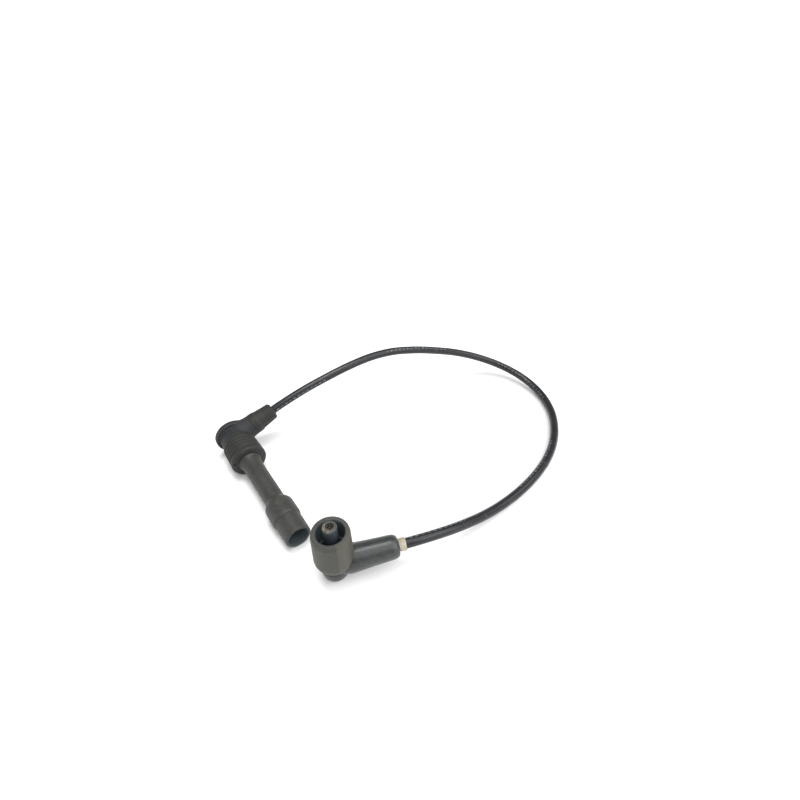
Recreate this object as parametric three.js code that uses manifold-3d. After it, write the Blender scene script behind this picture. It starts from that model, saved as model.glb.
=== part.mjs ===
// Spark plug wire: one ignition lead with a long right-angled plug connector at one end and a coil boot
// at the other. Millimetres, +Z up, lying as it rests on a flat surface.
// The plug connector's mouth points along -Y and its cable branch along +X. The coil boot's cup opens up.
import * as THREE from "three";
import { mergeVertices } from "three/addons/utils/BufferGeometryUtils.js";
import Module from "manifold-3d";

const wasm = await Module();
wasm.setup();

const degrees = Math.PI / 180;

// Clearance between pieces that touch, moulded edges, and how far a cut runs past a face.
const fitGap = 0.3;
const lightEdge = 0.4;
const softEdge = 0.8;
const cutPast = 1.0;
const largeSides = 28;
const smallSides = 16;
const fineSides = 12;

// Cable and its crimped ends.
const cableRadius = 3.5;
const coreRadius = 0.9;
const cableSides = 12;
const cableSteps = 44;
const ferruleWall = 0.8;
const ferruleNeckRadius = 2.1;
const ferruleNeckEnd = 8.6;
const ferruleNeckTaper = 0.6;
const ferrulePinRadius = 1.6;
const ferrulePinReach = 2.2;
const ferrulePinEnd = 3.6;
const cableStart = 10.8;
const ferruleEnd = 17.6;
const coreStart = 5.4;

// Plug end. Lengths run from the elbow's centre toward the mouth.
const headRadius = 14.2;
const headBackReach = 9.0;
const headBackRadius = 9.0;
const headCrownRadius = 5.4;
const headCrownHeight = 2.2;
const headDiscBack = 5.4;
const headDiscFront = 0.7;
const headLip = 1.0;
const hubRootRadius = 11.2;
const hubRadius = 12.2;
const hubEnd = 10.7;
const spigotWall = 1.2;
const branchRootRadius = 9.1;
const branchEndRadius = 8.8;
const branchRootReach = 17.7;
const nippleRadius = 6.2;
const nippleReach = 26.0;

const sleeveCollarRadius = 8.8;
const sleeveCollarEnd = 24.0;
const sleeveCollarStep = 1.2;
const sleeveWaistRadius = 8.1;
const sleeveTipRadius = 7.0;
const sleeveReach = 38.2;
const sleeveEndRadius = 5.6;
const sleeveNose = 1.6;
const sleeveRings = 3;
const sleeveRingPitch = 2.2;
const sleeveRingDepth = 0.35;
const sleeveRingHalf = 0.5;
const sleeveLastRing = 3.4;

const collarBackRadius = 13.2;
const collarRimRadius = 13.9;
const collarRimReach = 32.0;
const collarLip = 1.0;
const collarLipDepth = 0.6;
const collarRibs = 4;
const collarRibPitch = 3.8;
const collarFirstGroove = 15.0;
const collarGrooveDepth = 1.0;
const collarGrooveHalf = 1.0;
const collarGrooveFloorHalf = 0.4;
const collarWebEnd = 28.4;
const collarSkirtWall = 1.8;
const collarSkirtDraft = 0.5;

const barrelSpigotRadius = 6.4;
const barrelRadius = 7.3;
const barrelFlangeRadius = 9.6;
const barrelFlangeLength = 1.6;
const barrelRingRadius = 8.9;
const barrelTaperEnd = 40.0;
const barrelShoulderLength = 4.6;
const barrelHousingLength = 14.2;
const barrelHousingRadius = 10.3;
const barrelBoreRadius = 4.0;
const barrelSocketDepth = 19.2;
const counterboreRadius = 7.7;
const counterboreDepth = 8.8;

const tipRadius = 9.4;
const mouthRadius = 9.3;
const mouthLip = 0.5;
const mouthLipLength = 0.9;
const tipLength = 16.2;
const mouthReach = 115.0;
const mouthBoreRadius = 7.6;
const mouthBoreDepth = 11.5;
const throatRadius = 5.2;
const throatTaper = 2.6;

const socketRadius = 4.6;
const socketBoreRadius = 3.2;
const socketLength = 14.7;
const socketBoreDepth = 11.0;
const socketGrooveRadius = 3.8;
const socketGrooveWidth = 1.4;
const socketRingReach = 8.8;
const ringWireRadius = 0.35;
const ringSplit = 40 * degrees;
const ringSteps = 18;

const studRadius = 2.8;
const studTop = 2.7;
const studReach = 1.0;
const capWall = 0.5;
const capLength = 5.0;
const capEndWall = 1.2;
const resistorRadius = 2.9;
const resistorLength = 42.4;
const springWireRadius = 0.5;
const springRadius = 2.9;
const springTurns = 7;
const springTurnSteps = 10;
const wireSegments = 3;

// Coil end. Heights run up from the surface it lies on.
const heelRadius = 8.8;
const heelTop = 12.6;
const coilBranchHeight = 14.0;
const coilBranchReach = 41.3;
const coilBranchRootRadius = 9.2;
const coilBranchMidRadius = 8.6;
const coilBranchTipRadius = 7.8;
const coilBranchEndRadius = 5.6;
const coilBranchFlare = 9.0;
const coilBranchRoot = 12.0;
const coilBranchMid = 20.0;
const coilBranchNose = 3.2;
const coilBranchNoseStep = 1.2;
const spigotRadius = 7.4;
const spigotTop = 27.0;

const cupBottom = 13.2;
const cupBottomRadius = 8.7;
const cupShoulderHeight = 21.0;
const cupShoulderRadius = 12.6;
const cupShoulderRound = 2.2;
const cupNeckHeight = 42.0;
const cupNeckRadius = 11.9;
const cupRimHeight = 45.5;
const cupRimRadius = 11.7;
const cupRimChamfer = 0.6;
const cupInnerRadius = 8.8;
const cupFloorHeight = 30.0;

const towerFlangeRadius = 7.1;
const towerFlangeThickness = 2.2;
const towerRootRadius = 5.5;
const towerTipRadius = 4.4;
const towerFaceRadius = 3.9;
const towerTop = 51.0;
const towerChamfer = 0.9;
const towerTipLength = 1.4;
const towerMouthRadius = 2.4;
const towerMouthDepth = 3.0;
const towerBoreRadius = 3.2;

const coilStudRadius = 2.6;
const coilStudBottom = 10.9;
const coilStudTop = 24.0;
const coilStudHoleRadius = 1.8;
const coilStudHoleDepth = 4.0;
const contactRadius = 2.0;
const contactBoreRadius = 1.35;
const contactRecess = 2.0;
const contactBoreDepth = 13.0;
const contactFlangeRise = 1.0;
const contactFlangeStep = 0.6;
const contactSlotWidth = 0.6;
const contactSlotDepth = 12.0;
const contactRingDrop = 3.0;

const bandRadius = 4.3;
const bandLength = 4.5;

// How the two ends lie.
const plugEndAt = [-17.37, 80.76];
const plugBranchRise = 18.8 * degrees;
const coilEndAt = [-8.54, -67.44];
const coilBranchTurn = -23.3 * degrees;
const coilBranchRise = 5.4 * degrees;

// The cable's centre line, from the coil boot's ferrule round to the plug connector's ferrule.
const cableRoute = [
  [1.34, -71.69, 15.02],
  [15.23, -77.68, 16.45],
  [29.22, -83.7, 17.89],
  [34.44, -85.95, 18.42],
  [42.83, -88.94, 18.6],
  [53.13, -91.54, 17.5],
  [65.23, -93.44, 15.0],
  [79.23, -94.64, 11.5],
  [95.03, -95.34, 7.9],
  [112.53, -95.24, 5.0],
  [133.23, -94.14, 3.6],
  [155.23, -91.24, 3.6],
  [177.2, -85.6, 3.6],
  [198.2, -76.5, 3.6],
  [217.3, -63.7, 3.6],
  [234.1, -46.9, 3.7],
  [245.9, -25.6, 4.8],
  [249.2, -1.2, 8.0],
  [242.5, 21.1, 13.1],
  [226.6, 39.1, 20.6],
  [203.7, 50.9, 30.0],
  [179.0, 57.4, 38.6],
  [157.0, 61.8, 45.2],
  [134.0, 66.2, 49.7],
  [112.6, 69.8, 50.2],
  [90.8, 72.9, 47.3],
  [68.6, 75.9, 42.3],
  [46.0, 78.6, 36.3],
  [23.34, 79.99, 29.43],
  [18.13, 80.09, 27.66],
  [5.35, 80.33, 23.31],
  [-7.15, 80.57, 19.07],
];

// Finishes, matched to the photographed lead.
const blackJacket = { color: 0x2b2c2e, roughness: 0.38, metalness: 0 };
const creamSleeving = { color: 0xd9d3c0, roughness: 0.6, metalness: 0 };
const darkMoulding = { color: 0x45484a, roughness: 0.55, metalness: 0 };
const greyRubber = { color: 0x50544c, roughness: 0.6, metalness: 0 };
const warmRubber = { color: 0x5c5c52, roughness: 0.62, metalness: 0 };
const towerPlastic = { color: 0x33383d, roughness: 0.5, metalness: 0 };
const brass = { color: 0xb08d4a, roughness: 0.35, metalness: 1 };
const plated = { color: 0xb9b6ac, roughness: 0.3, metalness: 1 };
const spring = { color: 0x9a9c9e, roughness: 0.3, metalness: 1 };
const ceramic = { color: 0xcbc6b8, roughness: 0.7, metalness: 0 };
const carbonCore = { color: 0x202020, roughness: 0.8, metalness: 0 };

// A solid from a closed geometry.
function solidOf(geometry) {
  const bare = geometry.clone();
  bare.deleteAttribute("normal");
  bare.deleteAttribute("uv");
  const merged = mergeVertices(bare, 1e-3);
  return new wasm.Manifold(
    new wasm.Mesh({
      numProp: 3,
      vertProperties: new Float32Array(merged.attributes.position.array),
      triVerts: new Uint32Array(merged.index.array),
    }),
  );
}

// The geometry of a solid.
function geometryOf(solid) {
  const mesh = solid.getMesh();
  const geometry = new THREE.BufferGeometry();
  geometry.setAttribute("position", new THREE.BufferAttribute(mesh.vertProperties, 3));
  geometry.setIndex(new THREE.BufferAttribute(mesh.triVerts, 1));
  geometry.computeVertexNormals();
  return geometry;
}

// Twice the signed area between a profile and the axis.
function sweep(profile) {
  return profile.reduce((sum, [r, y], i) => {
    const [nextR, nextY] = profile[(i + 1) % profile.length];
    return sum + r * nextY - nextR * y;
  }, 0);
}

// A turned piece. The profile holds [radius, height] pairs round the section, in either sense.
function turned(profile, sides, closed) {
  const loop = sweep(profile) > 0 ? profile : [...profile].reverse();
  const points = loop.map(([r, y]) => new THREE.Vector2(r, y));
  if (closed) points.push(points[0].clone());
  return new THREE.LatheGeometry(points, sides);
}

// A turned solid that reaches the axis at both ends of its profile.
function turnedBar(profile, sides = largeSides) {
  return turned(profile, sides, false);
}

// A turned ring or tube, whose profile stays clear of the axis.
function turnedTube(profile, sides = largeSides) {
  return turned(profile, sides, true);
}

// Profiles along the plug connector are given toward the mouth, which lies on -Y.
function towardMouth(profile) {
  return profile.map(([r, s]) => [r, -s]);
}

// Turns a piece made round Y to lie along the branch, which rises from +X by the given angle.
function ontoBranch(geometry, height, rise) {
  geometry.rotateZ(rise - Math.PI / 2);
  geometry.translate(0, height, 0);
  return geometry;
}

function joined(base, ...others) {
  return geometryOf(others.reduce((all, next) => all.add(solidOf(next)), solidOf(base)));
}

function cut(base, ...tools) {
  return geometryOf(tools.reduce((all, tool) => all.subtract(solidOf(tool)), solidOf(base)));
}

function piece(group, name, geometry, finish) {
  const mesh = new THREE.Mesh(geometry, new THREE.MeshStandardMaterial(finish));
  mesh.name = name;
  group.add(mesh);
}

// Sizes that two pieces share.
const ferruleBoreRadius = cableRadius + fitGap;
const ferruleRadius = ferruleBoreRadius + ferruleWall;
const ferruleChamberRadius = ferruleRadius + fitGap;
const neckPassageRadius = ferruleNeckRadius + fitGap;
const cableBoreRadius = cableRadius + fitGap;
const pinHoleRadius = ferrulePinRadius + fitGap;
const ferruleChamberStart = ferruleNeckEnd - fitGap;
const ferruleChamberEnd = ferruleEnd + fitGap;
const ferruleChamber = [
  [0, 0],
  [neckPassageRadius, 0],
  [neckPassageRadius, ferruleChamberStart],
  [ferruleChamberRadius, ferruleChamberStart],
];

// The barrel's spigot starts below the ferrule's neck and ends under the hub.
const spigotStart = neckPassageRadius + spigotWall;

// The barrel's housing and its socket keep their places from the mouth.
const barrelEnd = mouthReach - tipLength;
const barrelShoulderEnd = barrelEnd - barrelHousingLength;
const barrelShoulderStart = barrelShoulderEnd - barrelShoulderLength;
const barrelSocketStart = barrelEnd - barrelSocketDepth;

// The stack along the barrel's bore, each piece starting a gap after the one before. The spring takes
// up the length that is left above the socket.
const barrelStart = hubEnd + fitGap;
const studEnd = barrelStart + studReach;
const upperCapStart = studEnd + fitGap;
const resistorStart = upperCapStart + capEndWall + fitGap;
const resistorEnd = resistorStart + resistorLength;
const lowerCapEnd = resistorEnd + fitGap + capEndWall;
const springStart = lowerCapEnd + fitGap;
const springEnd = barrelSocketStart;
const socketStart = barrelSocketStart + fitGap;
const ringCentre = socketStart + socketRingReach;

// The coil contact stands just inside the tower's mouth, and its ring in the wider bore below it.
const contactTop = towerTop - contactRecess;
const contactRingHeight = towerTop - towerMouthDepth - contactRingDrop;

// Where the connector touches the surface that it lies on.
const rimLine = collarRimReach - collarLip;
const mouthLine = mouthReach - mouthLipLength;

// The crimped ferrule: a pin, a neck over the bared core and a barrel over the jacket.
function ferruleGeometry() {
  const coreBoreRadius = coreRadius + fitGap;
  return turnedBar(
    [
      [0, -ferrulePinReach],
      [ferrulePinRadius, -ferrulePinReach],
      [ferrulePinRadius, ferrulePinEnd],
      [ferruleNeckRadius, ferrulePinEnd + ferruleNeckTaper],
      [ferruleNeckRadius, ferruleNeckEnd],
      [ferruleRadius, ferruleNeckEnd + lightEdge],
      [ferruleRadius, ferruleEnd],
      [ferruleBoreRadius, ferruleEnd],
      [ferruleBoreRadius, cableStart - fitGap],
      [coreBoreRadius, cableStart - fitGap],
      [coreBoreRadius, coreStart - fitGap],
      [0, coreStart - fitGap],
    ],
    smallSides,
  );
}

function coreGeometry() {
  return turnedBar(
    [
      [0, coreStart],
      [coreRadius, coreStart],
      [coreRadius, cableStart - 2 * fitGap],
      [0, cableStart - 2 * fitGap],
    ],
    fineSides,
  );
}

// A split ring of round wire, made round Y.
function splitRing(radius, height) {
  const arc = new THREE.EllipseCurve(0, 0, radius, radius, ringSplit / 2, 2 * Math.PI - ringSplit / 2);
  const points = arc.getPoints(ringSteps).map((p) => new THREE.Vector3(p.x, height, p.y));
  const wire = new THREE.Shape();
  wire.absarc(0, 0, ringWireRadius, 0, 2 * Math.PI);
  return new THREE.ExtrudeGeometry(wire, {
    steps: ringSteps,
    curveSegments: wireSegments,
    bevelEnabled: false,
    extrudePath: new THREE.CatmullRomCurve3(points),
  });
}

// Plug end

function plugElbowHead() {
  const body = turnedBar(
    towardMouth([
      [0, -headBackReach],
      [headCrownRadius, -headBackReach + lightEdge],
      [headBackRadius, -headBackReach + headCrownHeight],
      [headBackRadius + lightEdge, -headDiscBack],
      [headRadius - headLip, -headDiscBack],
      [headRadius, -headDiscBack + headLip],
      [headRadius, -headDiscFront - headLip],
      [headRadius - headLip, -headDiscFront],
      [hubRootRadius + softEdge, -headDiscFront],
      [hubRootRadius, -headDiscFront + softEdge],
      [(hubRootRadius + hubRadius) / 2, hubEnd / 2],
      [hubRadius, hubEnd - softEdge],
      [hubRadius - lightEdge, hubEnd],
      [0, hubEnd],
    ]),
  );
  const branch = turnedBar(
    [
      [0, 0],
      [branchRootRadius, 0],
      [branchEndRadius, branchRootReach],
      [nippleRadius, branchRootReach],
      [nippleRadius, nippleReach],
      [0, nippleReach],
    ],
    largeSides,
  );
  const barrelSocket = turnedBar(
    towardMouth([
      [0, -studTop - fitGap],
      [studRadius + fitGap, -studTop - fitGap],
      [studRadius + fitGap, spigotStart - fitGap],
      [barrelSpigotRadius + fitGap, spigotStart - fitGap],
      [barrelSpigotRadius + fitGap, hubEnd + cutPast],
      [0, hubEnd + cutPast],
    ]),
    smallSides,
  );
  const ferruleHollow = turnedBar(
    [
      ...ferruleChamber,
      [ferruleChamberRadius, nippleReach + cutPast],
      [0, nippleReach + cutPast],
    ],
    smallSides,
  );
  const solid = joined(body, ontoBranch(branch, 0, 0));
  return cut(solid, barrelSocket, ontoBranch(ferruleHollow, 0, 0));
}

function plugCableSleeve() {
  const start = branchRootReach + fitGap;
  const firstRing = sleeveReach - sleeveLastRing - (sleeveRings - 1) * sleeveRingPitch;
  const slope = (sleeveWaistRadius - sleeveTipRadius) / (sleeveReach - sleeveNose - sleeveCollarEnd);
  const surface = (d) => sleeveWaistRadius - slope * (d - sleeveCollarEnd);
  const outline = [
    [branchEndRadius, start],
    [sleeveCollarRadius, start + softEdge],
    [sleeveCollarRadius, sleeveCollarEnd - sleeveCollarStep],
    [sleeveWaistRadius, sleeveCollarEnd],
  ];
  for (let i = 0; i < sleeveRings; i++) {
    const d = firstRing + i * sleeveRingPitch;
    outline.push([surface(d - sleeveRingHalf), d - sleeveRingHalf]);
    outline.push([surface(d) - sleeveRingDepth, d]);
    outline.push([surface(d + sleeveRingHalf), d + sleeveRingHalf]);
  }
  outline.push([sleeveTipRadius, sleeveReach - sleeveNose]);
  outline.push([sleeveEndRadius + softEdge, sleeveReach - lightEdge]);
  outline.push([sleeveEndRadius, sleeveReach]);
  outline.push([cableBoreRadius, sleeveReach]);
  outline.push([cableBoreRadius, nippleReach + fitGap]);
  outline.push([nippleRadius + fitGap, nippleReach + fitGap]);
  outline.push([nippleRadius + fitGap, start]);
  return ontoBranch(turnedTube(outline), 0, 0);
}

function wellSealCollar() {
  const start = hubEnd + fitGap;
  const slope = (collarRimRadius - collarBackRadius) / (collarRimReach - start);
  const surface = (s) => collarBackRadius + slope * (s - start);
  const outline = [
    [collarBackRadius - lightEdge, start],
    [surface(start + softEdge), start + softEdge],
  ];
  for (let i = 0; i < collarRibs; i++) {
    const s = collarFirstGroove + i * collarRibPitch;
    outline.push([surface(s), s - collarGrooveHalf]);
    outline.push([surface(s) - collarGrooveDepth, s - collarGrooveFloorHalf]);
    outline.push([surface(s) - collarGrooveDepth, s + collarGrooveFloorHalf]);
    outline.push([surface(s), s + collarGrooveHalf]);
  }
  const skirtBore = collarRimRadius - collarSkirtWall;
  outline.push([collarRimRadius, rimLine]);
  outline.push([collarRimRadius - collarLipDepth, collarRimReach]);
  outline.push([skirtBore + lightEdge, collarRimReach]);
  outline.push([skirtBore, collarRimReach - softEdge]);
  outline.push([skirtBore - collarSkirtDraft, collarWebEnd]);
  outline.push([barrelRadius + fitGap, collarWebEnd]);
  outline.push([barrelRadius + fitGap, start]);
  return turnedTube(towardMouth(outline));
}

function plugBarrel() {
  const flangeStart = collarWebEnd + fitGap;
  const boreStart = studEnd - fitGap;
  return turnedTube(
    towardMouth([
      [barrelSpigotRadius, spigotStart],
      [barrelSpigotRadius, barrelStart],
      [barrelRadius, barrelStart],
      [barrelRadius, flangeStart],
      [barrelFlangeRadius, flangeStart],
      [barrelFlangeRadius - lightEdge, flangeStart + barrelFlangeLength],
      [barrelRingRadius, collarRimReach - softEdge],
      [barrelRingRadius, collarRimReach + softEdge],
      [barrelRingRadius - lightEdge, collarRimReach + 2 * softEdge],
      [barrelRadius, barrelTaperEnd],
      [barrelRadius, barrelShoulderStart],
      [barrelRadius + softEdge, barrelShoulderStart + softEdge],
      [barrelHousingRadius - lightEdge, barrelShoulderEnd - 2 * softEdge],
      [barrelHousingRadius, barrelShoulderEnd],
      [barrelHousingRadius, barrelEnd - softEdge],
      [barrelHousingRadius - lightEdge, barrelEnd],
      [counterboreRadius, barrelEnd],
      [counterboreRadius, barrelEnd - counterboreDepth],
      [socketRadius + fitGap, barrelEnd - counterboreDepth],
      [socketRadius + fitGap, barrelSocketStart],
      [barrelBoreRadius, barrelSocketStart],
      [barrelBoreRadius, boreStart],
      [studRadius + fitGap, boreStart],
      [studRadius + fitGap, spigotStart],
    ]),
  );
}

function plugTipSleeve() {
  const start = barrelEnd - counterboreDepth + fitGap;
  const shoulder = barrelEnd + fitGap;
  const boreStart = mouthReach - mouthBoreDepth;
  return turnedTube(
    towardMouth([
      [counterboreRadius - fitGap, start],
      [counterboreRadius - fitGap, shoulder],
      [tipRadius - lightEdge, shoulder],
      [tipRadius, shoulder + lightEdge],
      [mouthRadius, mouthLine],
      [mouthRadius - mouthLip, mouthReach],
      [mouthBoreRadius, mouthReach],
      [mouthBoreRadius, boreStart],
      [throatRadius, boreStart - throatTaper],
      [throatRadius, start],
    ]),
  );
}

function plugTerminalSocket() {
  const end = socketStart + socketLength;
  const boreStart = end - socketBoreDepth;
  return turnedBar(
    towardMouth([
      [0, socketStart],
      [socketRadius - lightEdge, socketStart],
      [socketRadius, socketStart + lightEdge],
      [socketRadius, ringCentre - socketGrooveWidth / 2],
      [socketGrooveRadius, ringCentre - socketGrooveWidth / 2],
      [socketGrooveRadius, ringCentre + socketGrooveWidth / 2],
      [socketRadius, ringCentre + socketGrooveWidth / 2],
      [socketRadius, end - lightEdge],
      [socketRadius - lightEdge, end],
      [socketBoreRadius + lightEdge, end],
      [socketBoreRadius, end - lightEdge],
      [socketBoreRadius, boreStart],
      [0, boreStart],
    ]),
    smallSides,
  );
}

function contactSpring() {
  const from = springStart + springWireRadius;
  const to = springEnd - springWireRadius;
  const count = springTurns * springTurnSteps;
  const points = [];
  for (let i = 0; i <= count; i++) {
    const angle = (i / count) * springTurns * 2 * Math.PI;
    const s = from + ((to - from) * i) / count;
    const x = springRadius * Math.cos(angle);
    const z = springRadius * Math.sin(angle);
    points.push(new THREE.Vector3(x, -s, z));
  }
  const wire = new THREE.Shape();
  wire.absarc(0, 0, springWireRadius, 0, 2 * Math.PI);
  return new THREE.ExtrudeGeometry(wire, {
    steps: count,
    curveSegments: wireSegments,
    bevelEnabled: false,
    extrudePath: new THREE.CatmullRomCurve3(points),
  });
}

// A metal cap over one end of the resistor. The direction is 1 for a cap that opens toward the mouth.
function resistorCap(closedEnd, direction) {
  const outer = resistorRadius + fitGap + capWall;
  return turnedBar(
    towardMouth([
      [0, closedEnd],
      [outer, closedEnd],
      [outer, closedEnd + direction * capLength],
      [resistorRadius + fitGap, closedEnd + direction * capLength],
      [resistorRadius + fitGap, closedEnd + direction * capEndWall],
      [0, closedEnd + direction * capEndWall],
    ]),
    smallSides,
  );
}

function elbowContactStud() {
  const stud = turnedBar(
    towardMouth([
      [0, -studTop],
      [studRadius - lightEdge, -studTop],
      [studRadius, -studTop + lightEdge],
      [studRadius, studEnd],
      [0, studEnd],
    ]),
    smallSides,
  );
  const pinHole = turnedBar(
    [
      [0, -studRadius - cutPast],
      [pinHoleRadius, -studRadius - cutPast],
      [pinHoleRadius, studRadius + cutPast],
      [0, studRadius + cutPast],
    ],
    fineSides,
  );
  return cut(stud, ontoBranch(pinHole, 0, 0));
}

function plugEnd() {
  const group = new THREE.Group();
  const resistor = turnedBar(
    towardMouth([
      [0, resistorStart],
      [resistorRadius, resistorStart],
      [resistorRadius, resistorEnd],
      [0, resistorEnd],
    ]),
    smallSides,
  );
  const snapRing = splitRing(socketGrooveRadius + fitGap / 2 + ringWireRadius, -ringCentre);
  piece(group, "plug_elbow_head", plugElbowHead(), darkMoulding);
  piece(group, "plug_cable_sleeve", plugCableSleeve(), greyRubber);
  piece(group, "well_seal_collar", wellSealCollar(), greyRubber);
  piece(group, "plug_barrel", plugBarrel(), greyRubber);
  piece(group, "plug_tip_sleeve", plugTipSleeve(), greyRubber);
  piece(group, "plug_terminal_socket", plugTerminalSocket(), brass);
  piece(group, "terminal_snap_ring", snapRing, spring);
  piece(group, "suppression_resistor", resistor, ceramic);
  piece(group, "resistor_cap_upper", resistorCap(upperCapStart, 1), plated);
  piece(group, "resistor_cap_lower", resistorCap(lowerCapEnd, -1), plated);
  piece(group, "contact_spring", contactSpring(), spring);
  piece(group, "elbow_contact_stud", elbowContactStud(), brass);
  piece(group, "plug_crimp_ferrule", ontoBranch(ferruleGeometry(), 0, 0), plated);
  piece(group, "plug_end_core", ontoBranch(coreGeometry(), 0, 0), carbonCore);

  // The connector rests on the collar's rim and on the mouth.
  const tilt = Math.atan((collarRimRadius - mouthRadius) / (mouthLine - rimLine));
  const height = rimLine * Math.sin(tilt) + collarRimRadius * Math.cos(tilt);
  group.position.set(plugEndAt[0], plugEndAt[1], height);
  group.rotation.set(tilt, -plugBranchRise, 0, "XYZ");
  return group;
}

// Coil end, made with its upright axis on Y

function coilElbowBoot() {
  const heelArc = [20, 42, 64, 90].map((angle) => [
    heelRadius * Math.sin(angle * degrees),
    heelRadius * (1 - Math.cos(angle * degrees)),
  ]);
  const heel = turnedBar([
    [0, 0],
    ...heelArc,
    [spigotRadius, heelTop],
    [spigotRadius, spigotTop],
    [0, spigotTop],
  ]);
  const branch = turnedBar([
    [0, 0],
    [spigotRadius, 0],
    [coilBranchRootRadius, coilBranchFlare],
    [coilBranchRootRadius, coilBranchRoot],
    [coilBranchMidRadius, coilBranchMid],
    [coilBranchTipRadius, coilBranchReach - coilBranchNose],
    [coilBranchTipRadius - softEdge, coilBranchReach - coilBranchNoseStep],
    [coilBranchEndRadius + lightEdge, coilBranchReach - lightEdge],
    [coilBranchEndRadius, coilBranchReach],
    [0, coilBranchReach],
  ]);
  const studBore = turnedBar(
    [
      [0, coilStudBottom - fitGap],
      [coilStudRadius + fitGap, coilStudBottom - fitGap],
      [coilStudRadius + fitGap, spigotTop + cutPast],
      [0, spigotTop + cutPast],
    ],
    smallSides,
  );
  const hollow = turnedBar(
    [
      ...ferruleChamber,
      [ferruleChamberRadius, ferruleChamberEnd],
      [cableBoreRadius, ferruleChamberEnd],
      [cableBoreRadius, coilBranchReach + cutPast],
      [0, coilBranchReach + cutPast],
    ],
    smallSides,
  );
  const solid = joined(heel, ontoBranch(branch, coilBranchHeight, coilBranchRise));
  return cut(solid, studBore, ontoBranch(hollow, coilBranchHeight, coilBranchRise));
}

function coilCup() {
  const cup = turnedTube([
    [cupBottomRadius, cupBottom],
    [cupShoulderRadius - softEdge, cupShoulderHeight - cupShoulderRound],
    [cupShoulderRadius, cupShoulderHeight],
    [cupNeckRadius, cupNeckHeight],
    [cupRimRadius, cupNeckHeight + softEdge],
    [cupRimRadius, cupRimHeight - cupRimChamfer],
    [cupRimRadius - cupRimChamfer, cupRimHeight],
    [cupInnerRadius + lightEdge, cupRimHeight],
    [cupInnerRadius, cupRimHeight - lightEdge],
    [cupInnerRadius, cupFloorHeight],
    [spigotRadius + fitGap, cupFloorHeight],
    [spigotRadius + fitGap, cupBottom],
  ]);
  const branchClearance = turnedBar([
    [0, 0],
    [spigotRadius, 0],
    [coilBranchRootRadius + fitGap, coilBranchFlare],
    [coilBranchRootRadius + fitGap, coilBranchMid],
    [0, coilBranchMid],
  ]);
  return cut(cup, ontoBranch(branchClearance, coilBranchHeight, coilBranchRise));
}

function contactTower() {
  const base = spigotTop + fitGap;
  const flangeTop = base + towerFlangeThickness;
  return turnedTube([
    [towerFlangeRadius, base],
    [towerFlangeRadius, flangeTop],
    [towerRootRadius + lightEdge, flangeTop],
    [towerRootRadius, flangeTop + softEdge],
    [towerTipRadius, towerTop - towerChamfer - towerTipLength],
    [towerTipRadius, towerTop - towerChamfer],
    [towerFaceRadius, towerTop],
    [towerMouthRadius, towerTop],
    [towerMouthRadius, towerTop - towerMouthDepth],
    [towerBoreRadius, towerTop - towerMouthDepth],
    [towerBoreRadius, base],
  ]);
}

function coilContactSocket() {
  const tailRadius = coilStudHoleRadius - fitGap;
  const tailStart = coilStudTop - coilStudHoleDepth + fitGap;
  const flangeTop = spigotTop + contactFlangeRise;
  const socket = turnedBar(
    [
      [0, tailStart],
      [tailRadius, tailStart],
      [tailRadius, coilStudTop + fitGap],
      [coilStudRadius, coilStudTop + fitGap],
      [coilStudRadius, flangeTop],
      [contactRadius, flangeTop + contactFlangeStep],
      [contactRadius, contactTop],
      [contactBoreRadius, contactTop],
      [contactBoreRadius, contactTop - contactBoreDepth],
      [0, contactTop - contactBoreDepth],
    ],
    smallSides,
  );
  const slotHeight = contactSlotDepth + cutPast;
  const slot = new THREE.BoxGeometry(contactSlotWidth, slotHeight, 4 * contactRadius);
  slot.translate(0, contactTop + cutPast - slotHeight / 2, 0);
  return cut(socket, slot);
}

function coilContactStud() {
  const stud = turnedBar(
    [
      [0, coilStudBottom],
      [coilStudRadius, coilStudBottom],
      [coilStudRadius, coilStudTop],
      [coilStudHoleRadius, coilStudTop],
      [coilStudHoleRadius, coilStudTop - coilStudHoleDepth],
      [0, coilStudTop - coilStudHoleDepth],
    ],
    smallSides,
  );
  const pinHole = turnedBar(
    [
      [0, -coilStudRadius - cutPast],
      [pinHoleRadius, -coilStudRadius - cutPast],
      [pinHoleRadius, coilStudRadius + cutPast],
      [0, coilStudRadius + cutPast],
    ],
    fineSides,
  );
  return cut(stud, ontoBranch(pinHole, coilBranchHeight, coilBranchRise));
}

function markerBand() {
  const start = coilBranchReach + fitGap;
  return turnedTube([
    [bandRadius, start],
    [bandRadius, start + bandLength],
    [cableBoreRadius, start + bandLength],
    [cableBoreRadius, start],
  ]);
}

function coilEnd() {
  const group = new THREE.Group();
  const alongBranch = (geometry) => ontoBranch(geometry, coilBranchHeight, coilBranchRise);
  const ringRadius = contactRadius + fitGap / 2 + ringWireRadius;
  piece(group, "coil_elbow_boot", coilElbowBoot(), greyRubber);
  piece(group, "coil_cup", coilCup(), warmRubber);
  piece(group, "contact_tower", contactTower(), towerPlastic);
  piece(group, "coil_contact_socket", coilContactSocket(), brass);
  piece(group, "socket_spring_ring", splitRing(ringRadius, contactRingHeight), spring);
  piece(group, "coil_contact_stud", coilContactStud(), brass);
  piece(group, "coil_crimp_ferrule", alongBranch(ferruleGeometry()), plated);
  piece(group, "coil_end_core", alongBranch(coreGeometry()), carbonCore);
  piece(group, "marker_band", alongBranch(markerBand()), creamSleeving);
  group.position.set(coilEndAt[0], coilEndAt[1], 0);
  group.rotation.set(Math.PI / 2, 0, coilBranchTurn, "ZYX");
  return group;
}

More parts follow.
